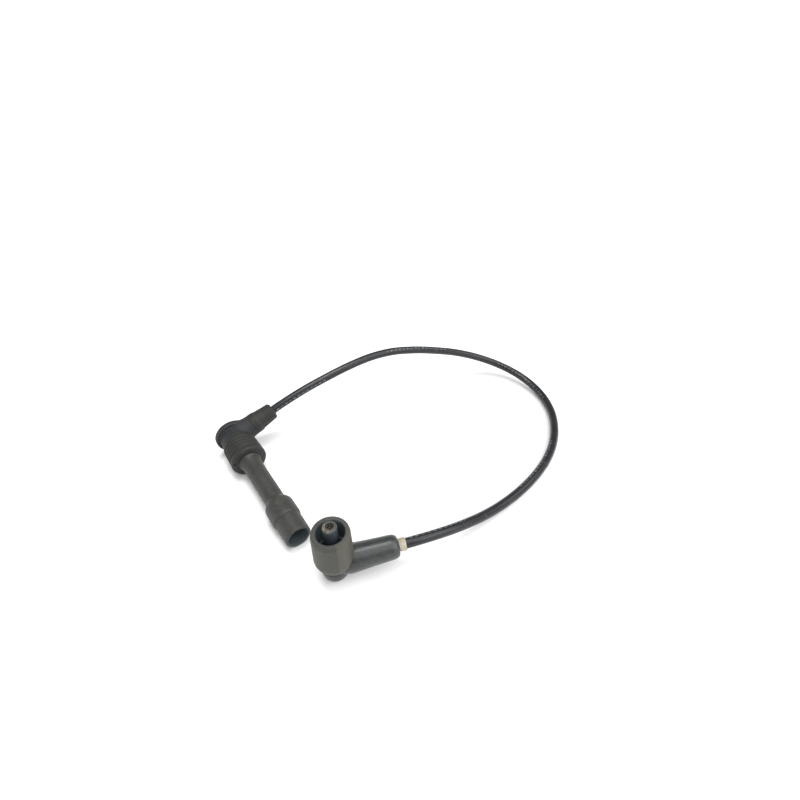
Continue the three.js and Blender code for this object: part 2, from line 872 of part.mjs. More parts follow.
function ignitionCable() {
  const section = new THREE.Shape();
  for (let i = 0; i < cableSides; i++) {
    const angle = (i / cableSides) * 2 * Math.PI;
    const x = cableRadius * Math.cos(angle);
    const y = cableRadius * Math.sin(angle);
    if (i === 0) section.moveTo(x, y);
    else section.lineTo(x, y);
  }
  section.closePath();
  const points = cableRoute.map(([x, y, z]) => new THREE.Vector3(x, y, z));
  return new THREE.ExtrudeGeometry(section, {
    steps: cableSteps,
    bevelEnabled: false,
    extrudePath: new THREE.CatmullRomCurve3(points),
  });
}

const sparkPlugWire = new THREE.Group();
sparkPlugWire.add(plugEnd());
sparkPlugWire.add(coilEnd());
piece(sparkPlugWire, "ignition_cable", ignitionCable(), blackJacket);

export default sparkPlugWire;
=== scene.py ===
import math

import bpy
import numpy as np
from bpy.props import FloatProperty, FloatVectorProperty, PointerProperty
from mathutils import Matrix, Vector


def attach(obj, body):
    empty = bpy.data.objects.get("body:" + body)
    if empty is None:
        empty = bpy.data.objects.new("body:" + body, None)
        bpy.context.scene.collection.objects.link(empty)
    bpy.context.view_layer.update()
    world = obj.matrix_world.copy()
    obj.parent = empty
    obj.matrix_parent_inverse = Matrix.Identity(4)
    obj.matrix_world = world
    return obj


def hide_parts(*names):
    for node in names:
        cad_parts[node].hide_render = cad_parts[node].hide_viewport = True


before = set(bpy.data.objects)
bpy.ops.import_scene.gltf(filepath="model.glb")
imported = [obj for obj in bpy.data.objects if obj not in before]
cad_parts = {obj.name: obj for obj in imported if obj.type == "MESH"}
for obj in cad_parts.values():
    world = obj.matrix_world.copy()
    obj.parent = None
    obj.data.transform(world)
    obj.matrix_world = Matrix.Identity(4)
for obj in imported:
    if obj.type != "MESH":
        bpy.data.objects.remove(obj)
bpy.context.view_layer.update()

bl_info = {
    "name": "Ignition Lead",
    "version": (1, 0, 0),
    "blender": (4, 5, 0),
    "location": "View3D > Sidebar > Ignition Lead",
    "description": "Dresses a spark plug wire with its rubber boots, mouldings, contacts and cable",
    "category": "Add Mesh",
}

MM = 0.001
FIT_GAP = 0.3 * MM
LIGHT_EDGE = 0.4 * MM
SOFT_EDGE = 0.8 * MM
# Rows stand about a step apart along a profile, and columns are counted round it.
PROFILE_STEP = 0.5 * MM
BODY_COLUMNS = 144
BRANCH_COLUMNS = 112
CUT_STEP = 3 * MM
CUT_COLUMNS = 48
MERGE_VOXEL = 0.3 * MM


# Colour

def to_linear(hex_colour):
    """Linear RGB of an sRGB hex value: c / 12.92 up to 0.04045, and ((c + 0.055) / 1.055) ^ 2.4 above."""
    channels = np.array([int(hex_colour[i : i + 2], 16) for i in (0, 2, 4)]) / 255
    curve = np.where(channels <= 0.04045, channels / 12.92, ((channels + 0.055) / 1.055) ** 2.4)
    return tuple(float(c) for c in curve)


# Sizes, colours and stage that can be changed

def length(name, size, description):
    """A size in metres."""
    return FloatProperty(name=name, description=description, default=size, min=0, unit="LENGTH", precision=5)


def power(name, watts, description):
    """A lamp's power in watts."""
    return FloatProperty(name=name, description=description, default=watts, min=0, unit="POWER")


def strength(name, value, description):
    """A strength of light, without a unit."""
    return FloatProperty(name=name, description=description, default=value, min=0)


def colour(name, hex_colour, description):
    """A colour, given as an sRGB hex value and kept as linear RGB."""
    start = to_linear(hex_colour)
    return FloatVectorProperty(
        name=name, description=description, default=start, subtype="COLOR", size=3, min=0, max=1
    )


class LEAD_PG_plug(bpy.types.PropertyGroup):
    """Sizes of the plug connector"""

    head_radius: length("Head radius", 14.2 * MM, "Radius of the round disc on the elbow head")
    hub_radius: length("Hub radius", 12.2 * MM, "Radius of the hub between the disc and the seal collar")
    hub_end: length("Hub end", 10.7 * MM, "Distance from the elbow's centre to the seal collar")
    branch_radius: length("Branch radius", 9.1 * MM, "Radius of the cable branch where it leaves the hub")
    branch_reach: length("Branch reach", 17.7 * MM, "Distance from the elbow's centre to the cable sleeve")
    branch_end: length("Branch end radius", 8.8 * MM, "Radius of the cable branch beside the cable sleeve")
    sleeve_reach: length("Sleeve reach", 38.2 * MM, "Distance from the elbow's centre to the sleeve's end")
    sleeve_radius: length("Sleeve radius", 8.1 * MM, "Radius of the cable sleeve past its collar")
    collar_radius: length("Collar radius", 13.9 * MM, "Radius of the well seal collar at its rim")
    collar_reach: length("Collar reach", 32.0 * MM, "Distance from the elbow's centre to the collar's rim")
    groove_depth: length("Groove depth", 1.0 * MM, "Depth of the grooves round the seal collar")
    barrel_radius: length("Barrel radius", 7.3 * MM, "Radius of the long barrel")
    housing_radius: length("Housing radius", 10.3 * MM, "Radius of the barrel round the terminal socket")
    barrel_end: length("Barrel end", 98.8 * MM, "Distance from the elbow's centre to the barrel's end")
    tip_radius: length("Tip radius", 9.4 * MM, "Radius of the mouth sleeve beside the barrel")
    mouth_reach: length("Mouth reach", 115.0 * MM, "Distance from the elbow's centre to the mouth")
    mouth_radius: length("Mouth radius", 9.3 * MM, "Outer radius of the mouth")
    mouth_bore: length("Mouth bore", 7.6 * MM, "Inner radius of the mouth")


class LEAD_PG_coil(bpy.types.PropertyGroup):
    """Sizes of the coil boot"""

    heel_radius: length("Heel radius", 8.8 * MM, "Radius of the round heel that it stands on")
    branch_height: length("Branch height", 14.0 * MM, "Height of the cable branch's axis at the elbow")
    branch_reach: length("Branch reach", 41.3 * MM, "Length of the cable branch from the upright axis")
    branch_radius: length("Branch radius", 9.2 * MM, "Radius of the cable branch beside the cup")
    branch_tip: length("Branch tip", 7.8 * MM, "Radius of the cable branch before its rounded end")
    spigot_radius: length("Spigot radius", 7.4 * MM, "Radius of the stem inside the cup")
    cup_radius: length("Cup radius", 12.6 * MM, "Radius of the cup at its shoulder")
    cup_rim: length("Cup rim radius", 11.7 * MM, "Radius of the cup at its rim")
    cup_height: length("Cup height", 45.5 * MM, "Height of the cup's rim")
    cup_bore: length("Cup bore", 8.8 * MM, "Inner radius of the cup")
    tower_radius: length("Tower radius", 4.4 * MM, "Radius of the contact tower near its top")
    tower_top: length("Tower top", 51.0 * MM, "Height of the contact tower")


class LEAD_PG_cable(bpy.types.PropertyGroup):
    """Sizes of the cable and the band on it"""

    radius: length("Cable radius", 3.5 * MM, "Radius of the cable's jacket")
    band_radius: length("Band radius", 4.3 * MM, "Radius of the marker band")
    band_length: length("Band length", 4.5 * MM, "Length of the marker band along the cable")


class LEAD_PG_colours(bpy.types.PropertyGroup):
    """Colours of the mouldings, the cable and the band"""

    boot: colour("Boot rubber", "2b2c28", "Plug connector's barrel and mouth sleeve")
    # Painted light: the bore is painted paler and bluer, standing in for light that reaches into the mouth
    # and the cup.
    boot_bloom: colour("Rubber bloom", "454540", "Pale bloom on the barrel, the mouth and the coil elbow")
    bore: colour("Bore rubber", "50585b", "Bluer skin inside the mouth and the cup")
    seal: colour("Seal rubber", "171815", "Seal collar and cable sleeve")
    seal_bloom: colour("Seal bloom", "31312d", "Pale bloom on the seal collar and cable sleeve")
    coil: colour("Coil boot rubber", "292d2d", "Elbow of the coil boot")
    head: colour("Head moulding", "191b1d", "Elbow head of the plug connector")
    head_bloom: colour("Head bloom", "303436", "Pale bloom on the elbow head")
    cup: colour("Cup rubber", "30302a", "Upright cup of the coil boot")
    # Pale bloom of the cup, which also paints the lit side right of its parting line.
    cup_bloom_and_lit_side: colour("Cup bloom", "504e42", "Pale, yellowish parts of the cup")
    tower: colour("Tower plastic", "333a40", "Contact tower inside the cup")
    tower_face: colour("Tower face", "34342c", "Top face of the contact tower")
    # Painted highlight: pale patches on the left of the tower's chamfer.
    tower_chamfer_highlight: colour("Chamfer highlight", "7d7663", "Patches rubbed pale on the tower's chamfer")
    jacket: colour("Cable jacket", "1c1d20", "Jacket of the ignition cable")
    dashes: colour("Cable dashes", "9da1a3", "Faded dashes along the cable")
    band: colour("Marker band", "a8a294", "Cream band beside the coil boot")
    band_yellow: colour("Band yellowing", "9a8e70", "Yellowed patches of the band")
    band_soil: colour("Band soil", "675c48", "Grime in the band's pits")


class LEAD_PG_stage(bpy.types.PropertyGroup):
    """Floor and light"""

    floor_side: length("Floor side", 30.0, "Side of the pale floor")
    floor_colour: colour("Floor", "fdfdfd", "Pale studio floor")
    front_power: power("Front light", 2.0, "Power of the softbox beside the camera")
    top_power: power("Top light", 2.0, "Power of the overhead softbox")
    side_power: power("Side light", 0.5, "Power of the softbox on the left")
    wall_strength: strength("Walls", 1.05, "Strength of the white walls")
    ceiling_strength: strength("Ceiling", 0.4, "Strength of the ceiling")
    skylight: strength("Skylight", 2.4, "Strength of the broad skylight")


# How the two ends lie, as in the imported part

PLUG_AT = Vector((-17.37, 80.76, 15.592)) * MM
# It lies on the rim of its collar and on its mouth, each given as a radius and a reach in mm.
COLLAR_REST = (13.9, 31.0)
MOUTH_REST = (9.3, 114.1)
PLUG_TILT = math.atan((COLLAR_REST[0] - MOUTH_REST[0]) / (MOUTH_REST[1] - COLLAR_REST[1]))
PLUG_RISE = math.radians(18.8)
COIL_AT = Vector((-8.54, -67.44, 0)) * MM
COIL_TURN = math.radians(-23.3)
COIL_RISE = math.radians(5.4)
CUP_PARTING = math.radians(-80)


def along(direction, up):
    """A turn that lays a piece made along +Z onto the direction, with its +X toward up."""
    z = Vector(direction).normalized()
    x = (Vector(up) - z * z.dot(Vector(up))).normalized()
    return Matrix((x, z.cross(x), z)).transposed().to_4x4()


PLUG = Matrix.Translation(PLUG_AT) @ Matrix.Rotation(PLUG_TILT, 4, "X") @ Matrix.Rotation(-PLUG_RISE, 4, "Y")
BARREL = PLUG @ along((0, -1, 0), (1, 0, 0))
PLUG_BRANCH = PLUG @ along((1, 0, 0), (0, 0, 1))
COIL = Matrix.Translation(COIL_AT) @ Matrix.Rotation(COIL_TURN, 4, "Z")


def coil_branch(height):
    """The frame of the coil boot's cable branch, whose axis starts at the height and rises outward."""
    direction = (math.cos(COIL_RISE), 0, math.sin(COIL_RISE))
    return COIL @ Matrix.Translation((0, 0, height)) @ along(direction, (0, 0, 1))


# The cable's centre line, from the coil boot's ferrule round to the plug connector's ferrule

CABLE_ROUTE = np.array([
    (1.34, -71.69, 15.02),
    (15.23, -77.68, 16.45),
    (29.22, -83.7, 17.89),
    (34.44, -85.95, 18.42),
    (42.83, -88.94, 18.6),
    (53.13, -91.54, 17.5),
    (65.23, -93.44, 15.0),
    (79.23, -94.64, 11.5),
    (95.03, -95.34, 7.9),
    (112.53, -95.24, 5.0),
    (133.23, -94.14, 3.6),
    (155.23, -91.24, 3.6),
    (177.2, -85.6, 3.6),
    (198.2, -76.5, 3.6),
    (217.3, -63.7, 3.6),
    (234.1, -46.9, 3.7),
    (245.9, -25.6, 4.8),
    (249.2, -1.2, 8.0),
    (242.5, 21.1, 13.1),
    (226.6, 39.1, 20.6),
    (203.7, 50.9, 30.0),
    (179.0, 57.4, 38.6),
    (157.0, 61.8, 45.2),
    (134.0, 66.2, 49.7),
    (112.6, 69.8, 50.2),
    (90.8, 72.9, 47.3),
    (68.6, 75.9, 42.3),
    (46.0, 78.6, 36.3),
    (23.34, 79.99, 29.43),
    (18.13, 80.09, 27.66),
    (5.35, 80.33, 23.31),
    (-7.15, 80.57, 19.07),
]) * MM
CABLE_SPAN_ROWS = 14
CABLE_COLUMNS = 40


# Profiles and surfaces

def rounded(corners, step, loop=False):
    """A profile with eased corners. Each corner (radius, place, ease) becomes the curve
    (1-u)^2 A + 2u(1-u) P + u^2 B, where A and B lie the ease's length from the corner P on its two
    sides, or at most 0.45 of a side. Straight stretches are divided into about one step each."""
    points = np.array([corner[:2] for corner in corners])
    eases = np.array([corner[2] if len(corner) > 2 else 0 for corner in corners])
    before = np.roll(points, 1, axis=0) - points
    after = np.roll(points, -1, axis=0) - points
    size_before = np.linalg.norm(before, axis=1)
    size_after = np.linalg.norm(after, axis=1)
    if not loop:
        eases[[0, -1]] = 0
        size_before[0] = size_after[-1] = 1
    start = points + before * (np.minimum(eases, 0.45 * size_before) / size_before)[:, None]
    end = points + after * (np.minimum(eases, 0.45 * size_after) / size_after)[:, None]
    pieces = []
    u = np.linspace(0, 1, 7)[:, None]
    for i in range(len(points)):
        if eases[i] > 0:
            pieces.append((1 - u) ** 2 * start[i] + 2 * u * (1 - u) * points[i] + u**2 * end[i])
        else:
            pieces.append(points[i : i + 1])
        if loop or i < len(points) - 1:
            goal = start[(i + 1) % len(points)]
            count = max(1, math.ceil(np.linalg.norm(goal - end[i]) / step))
            run = np.linspace(0, 1, count + 1)[1:-1, None]
            pieces.append(end[i] + (goal - end[i]) * run)
    return np.concatenate(pieces)


def placed(points, matrix):
    """The points carried by the matrix: M p + t for each."""
    turn = np.array(matrix.to_3x3())
    return points @ turn.T + np.array(matrix.translation)


def turned(profile, columns, matrix, relief=None):
    """A surface of revolution: (r cos a, r sin a, t) over the profile's (r, t) and the angles a, which
    are even. A relief, a function of (a, t), is added to r. The matrix then lays it in its place."""
    angles = np.linspace(0, 2 * np.pi, columns, endpoint=False)
    radius = np.repeat(profile[:, :1], columns, axis=1)
    place = np.repeat(profile[:, 1:], columns, axis=1)
    if relief is not None:
        radius = np.where(radius > 0, radius + relief(angles[None, :], place), 0)
    grid = np.stack([radius * np.cos(angles), radius * np.sin(angles), place], axis=2)
    return placed(grid.reshape(-1, 3), matrix).reshape(grid.shape)


def stitched(grid, loop):
    """Vertices and faces of a grid whose columns wrap round. Where loop is true the rows wrap too.
    Otherwise the first and last rows are closed, each by a fan to the middle of the row."""
    rows, columns = grid.shape[:2]
    index = np.arange(rows * columns).reshape(rows, columns)
    lower = index if loop else index[:-1]
    upper = np.roll(index, -1, axis=0) if loop else index[1:]
    quads = np.stack([lower, np.roll(lower, -1, 1), np.roll(upper, -1, 1), upper], axis=2).reshape(-1, 4)
    points = grid.reshape(-1, 3)
    fans = np.zeros((0, 3), int)
    if not loop:
        first, last = len(points), len(points) + 1
        points = np.concatenate([points, grid[0].mean(0)[None], grid[-1].mean(0)[None]])
        ring, end = index[0], index[-1]
        below = np.stack([np.roll(ring, -1), ring, np.full(columns, first)], axis=1)
        above = np.stack([end, np.roll(end, -1), np.full(columns, last)], axis=1)
        fans = np.concatenate([below, above])
    return points, quads, fans


def facing_out(points, quads, fans):
    """Turns all the faces round if the volume that they enclose, the sum of a . (b x c) / 6, is negative."""
    triangles = np.concatenate([quads[:, [0, 1, 2]], quads[:, [0, 2, 3]], fans])
    a, b, c = points[triangles[:, 0]], points[triangles[:, 1]], points[triangles[:, 2]]
    if np.einsum("ij,ij->", a - points[0], np.cross(b - points[0], c - points[0])) < 0:
        return quads[:, ::-1], fans[:, ::-1]
    return quads, fans


def made(name, grids, loops):
    """One piece from one or more closed grids."""
    points, faces, base = [], [], 0
    for grid, loop in zip(grids, loops):
        new, quads, fans = stitched(grid, loop)
        quads, fans = facing_out(new, quads, fans)
        faces += (quads + base).tolist() + (fans + base).tolist()
        points.append(new)
        base += len(new)
    mesh = bpy.data.meshes.new(name)
    mesh.from_pydata(np.concatenate(points).tolist(), [], faces)
    mesh.validate()
    mesh.polygons.foreach_set("use_smooth", np.ones(len(mesh.polygons), bool))
    mesh.update()
    piece = bpy.data.objects.new(name, mesh)
    bpy.context.scene.collection.objects.link(piece)
    return piece


def turned_ring(name, corners, step, columns, matrix, relief=None):
    """A piece with a bore: a surface of revolution whose profile is a closed loop with eased corners."""
    return made(name, [turned(rounded(corners, step, loop=True), columns, matrix, relief)], [True])


def cut_shape(name, corners, matrix, step=CUT_STEP, columns=CUT_COLUMNS):
    """A closed surface of revolution to cut out of a piece."""
    return made(name, [turned(rounded(corners, step), columns, matrix)], [False])


def settled(piece):
    """Makes what the piece's modifiers give its own mesh, so that none is left live."""
    graph = bpy.context.evaluated_depsgraph_get()
    mesh = bpy.data.meshes.new_from_object(piece.evaluated_get(graph))
    old = piece.data
    piece.modifiers.clear()
    piece.data = mesh
    bpy.data.meshes.remove(old)
    mesh.name = piece.name
    mesh.polygons.foreach_set("use_smooth", np.ones(len(mesh.polygons), bool))
    mesh.update()


def moulded_together(piece, voxel, passes):
    """Joins overlapping closed skins into one, on a grid of voxels, and relaxes it so that the inner
    corners between them become small fillets."""
    union = piece.modifiers.new("union", "REMESH")
    union.mode = "VOXEL"
    union.voxel_size = voxel
    union.use_smooth_shade = True
    relax = piece.modifiers.new("relax", "SMOOTH")
    relax.factor = 0.5
    relax.iterations = passes
    settled(piece)


def hollowed(piece, *cutters):
    """Cuts the closed shapes out of the piece."""
    for cutter in cutters:
        cut = piece.modifiers.new("cut", "BOOLEAN")
        cut.operation = "DIFFERENCE"
        cut.solver = "EXACT"
        cut.object = cutter
    settled(piece)
    for cutter in cutters:
        mesh = cutter.data
        bpy.data.objects.remove(cutter)
        bpy.data.meshes.remove(mesh)


def ridge(angle, at, width, height, radius):
    """A low rounded ridge along a turned piece at an angle: height * exp(-(arc / width)^2)."""
    away = np.angle(np.exp(1j * (angle - at)))
    return height * np.exp(-((away * radius / width) ** 2))


def parting_lines(angle, at, width, height, radius):
    """The two parting lines that a mould leaves on opposite sides: the sum of two ridges."""
    return ridge(angle, at, width, height, radius) + ridge(angle, at + math.pi, width, height, radius)


# Materials

NOISE = "ShaderNodeTexNoise"
RANGE = "ShaderNodeMapRange"
MIX = "ShaderNodeMix"
MATH = "ShaderNodeMath"
VECTOR_MATH = "ShaderNodeVectorMath"
BUMP = "ShaderNodeBump"


def per(size):
    """The scale that makes one period of a pattern the given size, in metres, on Object coordinates."""
    return 1 / size


def feed(tree, node, links):
    """Feeds a node's inputs. A link's value is another node's output or the input's own value."""
    for name, value in links.items():
        if isinstance(value, bpy.types.NodeSocket):
            tree.links.new(value, node.inputs[name])
        else:
            node.inputs[name].default_value = value


def add(tree, kind, links=None, out=0, **settings):
    """Adds one node with its settings and links, and gives one of its outputs."""
    node = tree.nodes.new(kind)
    for name, value in settings.items():
        setattr(node, name, value)
    feed(tree, node, links or {})
    return node.outputs[out]


def blank(name):
    """A new material, its node tree, its shader and its Object coordinates."""
    material = bpy.data.materials.new(name)
    material.use_nodes = True
    tree = material.node_tree
    shader = tree.nodes["Principled BSDF"]
    return material, tree, shader, add(tree, "ShaderNodeTexCoord", out="Object")


def rgba(values, factor=1.0):
    """A colour with alpha 1, made lighter or darker by the factor."""
    return (*(min(1.0, v * factor) for v in values), 1)


def moulded_rubber(name, base, bloom, gloss, worn_edge=0.56):
    """EPDM rubber, compression moulded: a matt skin with slow pale bloom, a fine spark-eroded grain from
    the mould, and edges that handling has rubbed paler."""
    material, tree, shader, place = blank(name)
    cloud = add(tree, NOISE, {"Vector": place, "Scale": per(15 * MM), "Detail": 5.0, "Roughness": 0.6})
    cloud = add(tree, RANGE, {"Value": cloud, "From Min": 0.36, "From Max": 0.66})
    mottle = add(tree, NOISE, {"Vector": place, "Scale": per(2.4 * MM), "Detail": 4.0, "Roughness": 0.7})
    dusty = add(tree, RANGE, {"Value": mottle, "From Min": 0.45, "From Max": 0.75, "To Max": 0.5})
    # The real grain is near 0.1 mm and is drawn about three times as coarse so that it shows.
    grain = add(tree, NOISE, {"Vector": place, "Scale": per(0.35 * MM), "Detail": 2.0})
    edge = add(tree, "ShaderNodeNewGeometry", out="Pointiness")
    edge = add(tree, RANGE, {"Value": edge, "From Min": 0.505, "From Max": worn_edge, "To Max": 0.7})
    tone = add(tree, MIX, {0: cloud, 6: rgba(base, 0.8), 7: rgba(base, 1.16)}, 2, data_type="RGBA")
    tone = add(tree, MIX, {0: dusty, 6: tone, 7: rgba(bloom)}, 2, data_type="RGBA")
    tone = add(tree, MIX, {0: edge, 6: tone, 7: rgba(bloom)}, 2, data_type="RGBA")
    spread = {"Value": mottle, "From Min": 0.3, "From Max": 0.7, "To Min": gloss, "To Max": gloss + 0.12}
    rough = add(tree, RANGE, spread)
    height = add(tree, MATH, {0: grain, 1: mottle}, operation="ADD")
    bump = add(tree, BUMP, {"Height": height, "Strength": 0.35, "Distance": 0.05 * MM})
    feed(tree, shader, {"Base Color": tone, "Roughness": rough, "Normal": bump, "IOR": 1.5})
    return material


def with_lit_bore(material, frame_matrix, radius, lit_lining):
    """Recolours what lies nearer to the frame's Z axis than the radius with painted light: a paler, bluer
    bore that stands in for light reaching into it. The distance is the length of (p - o) x z."""
    tree = material.node_tree
    shader = tree.nodes["Principled BSDF"]
    place = add(tree, "ShaderNodeTexCoord", out="Object")
    axis = frame_matrix.to_3x3() @ Vector((0, 0, 1))
    away = add(tree, VECTOR_MATH, {0: place, 1: frame_matrix.translation}, operation="SUBTRACT")
    away = add(tree, VECTOR_MATH, {0: away, 1: axis}, operation="CROSS_PRODUCT")
    away = add(tree, VECTOR_MATH, {0: away}, "Value", operation="LENGTH")
    inside = add(tree, MATH, {0: away, 1: radius}, operation="LESS_THAN")
    plain = shader.inputs["Base Color"].links[0].from_socket
    tone = add(tree, MIX, {0: inside, 6: plain, 7: rgba(lit_lining)}, 2, data_type="RGBA")
    feed(tree, shader, {"Base Color": tone})
    return material


def boot_rubber():
    """The matt, greenish black rubber of the barrel and the mouth."""
    colours = bpy.context.scene.lead_colours
    return moulded_rubber("moulded EPDM boot rubber", colours.boot, colours.boot_bloom, 0.5)


def seal_rubber():
    """The softer, blacker and more matt rubber of the seal collar and the cable sleeve."""
    colours = bpy.context.scene.lead_colours
    return moulded_rubber("soft moulded EPDM seal rubber", colours.seal, colours.seal_bloom, 0.6)


def coil_rubber():
    """The smoother rubber of the coil boot's elbow, which shows one soft streak of light."""
    colours = bpy.context.scene.lead_colours
    return moulded_rubber("satin moulded EPDM coil boot", colours.coil, colours.boot_bloom, 0.28)


def head_moulding():
    """The bluish black silicone of the elbow head, matt all over."""
    colours = bpy.context.scene.lead_colours
    return moulded_rubber("matt moulded silicone elbow", colours.head, colours.head_bloom, 0.62)


def cup_rubber(rim_height):
    """The boot rubber of the upright cup, with two more things: the half right of the parting line is
    painted paler and yellower as a painted lit side, and a band at the top of the rim is painted lighter and
    bluer."""
    colours = bpy.context.scene.lead_colours
    material = moulded_rubber("moulded EPDM cup rubber", colours.cup, colours.cup_bloom_and_lit_side, 0.52)
    tree = material.node_tree
    shader = tree.nodes["Principled BSDF"]
    place = add(tree, "ShaderNodeTexCoord", out="Object")
    plain = shader.inputs["Base Color"].links[0].from_socket
    # Painted light: the half right of the parting line is painted paler and yellower, a painted lit side.
    across = COIL.to_3x3() @ Vector((math.cos(CUP_PARTING), math.sin(CUP_PARTING), 0)).cross((0, 0, -1))
    beside = across.dot(COIL_AT)
    side = add(tree, VECTOR_MATH, {0: place, 1: across}, "Value", operation="DOT_PRODUCT")
    limits = {"From Min": beside - 0.1 * MM, "From Max": beside + 0.5 * MM, "To Max": 0.38}
    lit_half = add(tree, RANGE, {"Value": side, **limits})
    tone = add(tree, MIX, {0: lit_half, 6: plain, 7: rgba(colours.cup_bloom_and_lit_side)}, 2, data_type="RGBA")
    # A band at the top of the rim is painted lighter and bluer.
    height = add(tree, "ShaderNodeSeparateXYZ", {"Vector": place}, "Z")
    limits = {"From Min": rim_height - 0.7 * MM, "From Max": rim_height - 0.1 * MM, "To Max": 0.35}
    rim_top_band = add(tree, RANGE, {"Value": height, **limits})
    tone = add(tree, MIX, {0: rim_top_band, 6: tone, 7: rgba(colours.head_bloom)}, 2, data_type="RGBA")
    feed(tree, shader, {"Base Color": tone})
    return material


# The side on which the tower's chamfer is painted with a pale highlight.
LIT_CHAMFER_SIDE = Vector((-0.9, 0.1, 0))


def tower_plastic(top):
    """PBT plastic, injection moulded: dark and satin on its sides, greyer on the top face, with a painted
    highlight in pale patches on the left side of the chamfer."""
    colours = bpy.context.scene.lead_colours
    material, tree, shader, place = blank("injection moulded PBT tower")
    height = add(tree, "ShaderNodeSeparateXYZ", {"Vector": place}, "Z")
    face = add(tree, RANGE, {"Value": height, "From Min": top - 0.5 * MM, "From Max": top - 0.1 * MM})
    chamfer = add(tree, RANGE, {"Value": height, "From Min": top - 1.5 * MM, "From Max": top - 0.7 * MM})
    beside = LIT_CHAMFER_SIDE.dot(COIL_AT)
    side = add(tree, VECTOR_MATH, {0: place, 1: LIT_CHAMFER_SIDE}, "Value", operation="DOT_PRODUCT")
    side = add(tree, RANGE, {"Value": side, "From Min": beside + 0.5 * MM, "From Max": beside + 3.5 * MM})
    patchy = add(tree, NOISE, {"Vector": place, "Scale": per(2 * MM), "Detail": 4.0, "Roughness": 0.7})
    patchy = add(tree, RANGE, {"Value": patchy, "From Min": 0.36, "From Max": 0.6})
    # Painted highlight on the chamfer, broken into patches, on the left side only.
    lit_chamfer_patches = add(tree, MATH, {0: chamfer, 1: patchy}, operation="MULTIPLY")
    lit_chamfer_patches = add(tree, MATH, {0: lit_chamfer_patches, 1: side}, operation="MULTIPLY")
    streak = add(tree, NOISE, {"Vector": place, "Scale": per(5 * MM), "Detail": 3.0})
    streak = add(tree, RANGE, {"Value": streak, "From Min": 0.35, "From Max": 0.7})
    dark, light = rgba(colours.tower, 0.85), rgba(colours.tower, 1.3)
    tone = add(tree, MIX, {0: streak, 6: dark, 7: light}, 2, data_type="RGBA")
    tone = add(tree, MIX, {0: face, 6: tone, 7: rgba(colours.tower_face)}, 2, data_type="RGBA")
    tone = add(tree, MIX, {0: lit_chamfer_patches, 6: tone, 7: rgba(colours.tower_chamfer_highlight)}, 2, data_type="RGBA")
    rough = add(tree, RANGE, {"Value": lit_chamfer_patches, "To Min": 0.42, "To Max": 0.8})
    bump = add(tree, BUMP, {"Height": patchy, "Strength": 0.3, "Distance": 0.05 * MM})
    feed(tree, shader, {"Base Color": tone, "Roughness": rough, "Normal": bump, "IOR": 1.55})
    return material


DASH_PITCH = 4.2 * MM
DASH_SHARE = 0.6
DASH_WIDTH = 1.0 * MM
GROUP_PITCH = 126 * MM
GROUP_SHARE = 0.52
GROUP_START = 16 * MM
DRAWN_LENGTH = 25 * MM
DRAWN_PITCH = 0.4 * MM


def cable_jacket(radius):
    """Silicone cable jacket, extruded and talc polished: near black with a clear gloss, faint drawing
    lines along it, a little dust, and one faded row of short plain dashes. The jacket's own map gives the
    run along it in metres and the turn round it, counted so that the row of dashes is at a half."""
    colours = bpy.context.scene.lead_colours
    material, tree, shader, place = blank("extruded silicone jacket")
    surface = add(tree, "ShaderNodeUVMap", uv_map="surface")
    run = add(tree, "ShaderNodeSeparateXYZ", {"Vector": surface}, "X")
    turn = add(tree, "ShaderNodeSeparateXYZ", {"Vector": surface}, "Y")
    beat = add(tree, MATH, {0: run, 1: 1 / DASH_PITCH}, operation="MULTIPLY")
    beat = add(tree, MATH, {0: beat}, operation="FRACT")
    on_dash = add(tree, MATH, {0: beat, 1: DASH_SHARE}, operation="LESS_THAN")
    group = add(tree, MATH, {0: run, 1: GROUP_START}, operation="SUBTRACT")
    group = add(tree, MATH, {0: group, 1: 1 / GROUP_PITCH}, operation="MULTIPLY")
    group = add(tree, MATH, {0: group}, operation="FRACT")
    on_group = add(tree, MATH, {0: group, 1: GROUP_SHARE}, operation="LESS_THAN")
    turn = add(tree, MATH, {0: turn}, operation="FRACT")
    half_row = DASH_WIDTH / (4 * math.pi * radius)
    on_row = add(tree, MATH, {0: turn, 1: 0.5, 2: half_row}, operation="COMPARE")
    fade = add(tree, NOISE, {"Vector": place, "Scale": per(1.3 * MM), "Detail": 4.0, "Roughness": 0.8})
    fade = add(tree, RANGE, {"Value": fade, "From Min": 0.42, "From Max": 0.66, "To Max": 0.75})
    mask = add(tree, MATH, {0: on_dash, 1: on_group}, operation="MULTIPLY")
    mask = add(tree, MATH, {0: mask, 1: on_row}, operation="MULTIPLY")
    mask = add(tree, MATH, {0: mask, 1: fade}, operation="MULTIPLY")
    drawn = (per(DRAWN_LENGTH), 2 * math.pi * radius / DRAWN_PITCH, 1)
    stretched = add(tree, "ShaderNodeMapping", {"Vector": surface, "Scale": drawn})
    lines = add(tree, NOISE, {"Vector": stretched, "Scale": 1.0, "Detail": 3.0})
    dust = add(tree, NOISE, {"Vector": place, "Scale": per(9 * MM), "Detail": 6.0, "Roughness": 0.7})
    film = add(tree, RANGE, {"Value": dust, "From Min": 0.4, "From Max": 0.75})
    clean, dusty = rgba(colours.jacket), rgba(colours.jacket, 1.6)
    tone = add(tree, MIX, {0: film, 6: clean, 7: dusty}, 2, data_type="RGBA")
    tone = add(tree, MIX, {0: mask, 6: tone, 7: rgba(colours.dashes)}, 2, data_type="RGBA")
    rough = add(tree, RANGE, {"Value": film, "To Min": 0.2, "To Max": 0.34})
    bump = add(tree, BUMP, {"Height": lines, "Strength": 0.1, "Distance": 0.03 * MM})
    feed(tree, shader, {"Base Color": tone, "Roughness": rough, "Normal": bump, "IOR": 1.41})
    return material


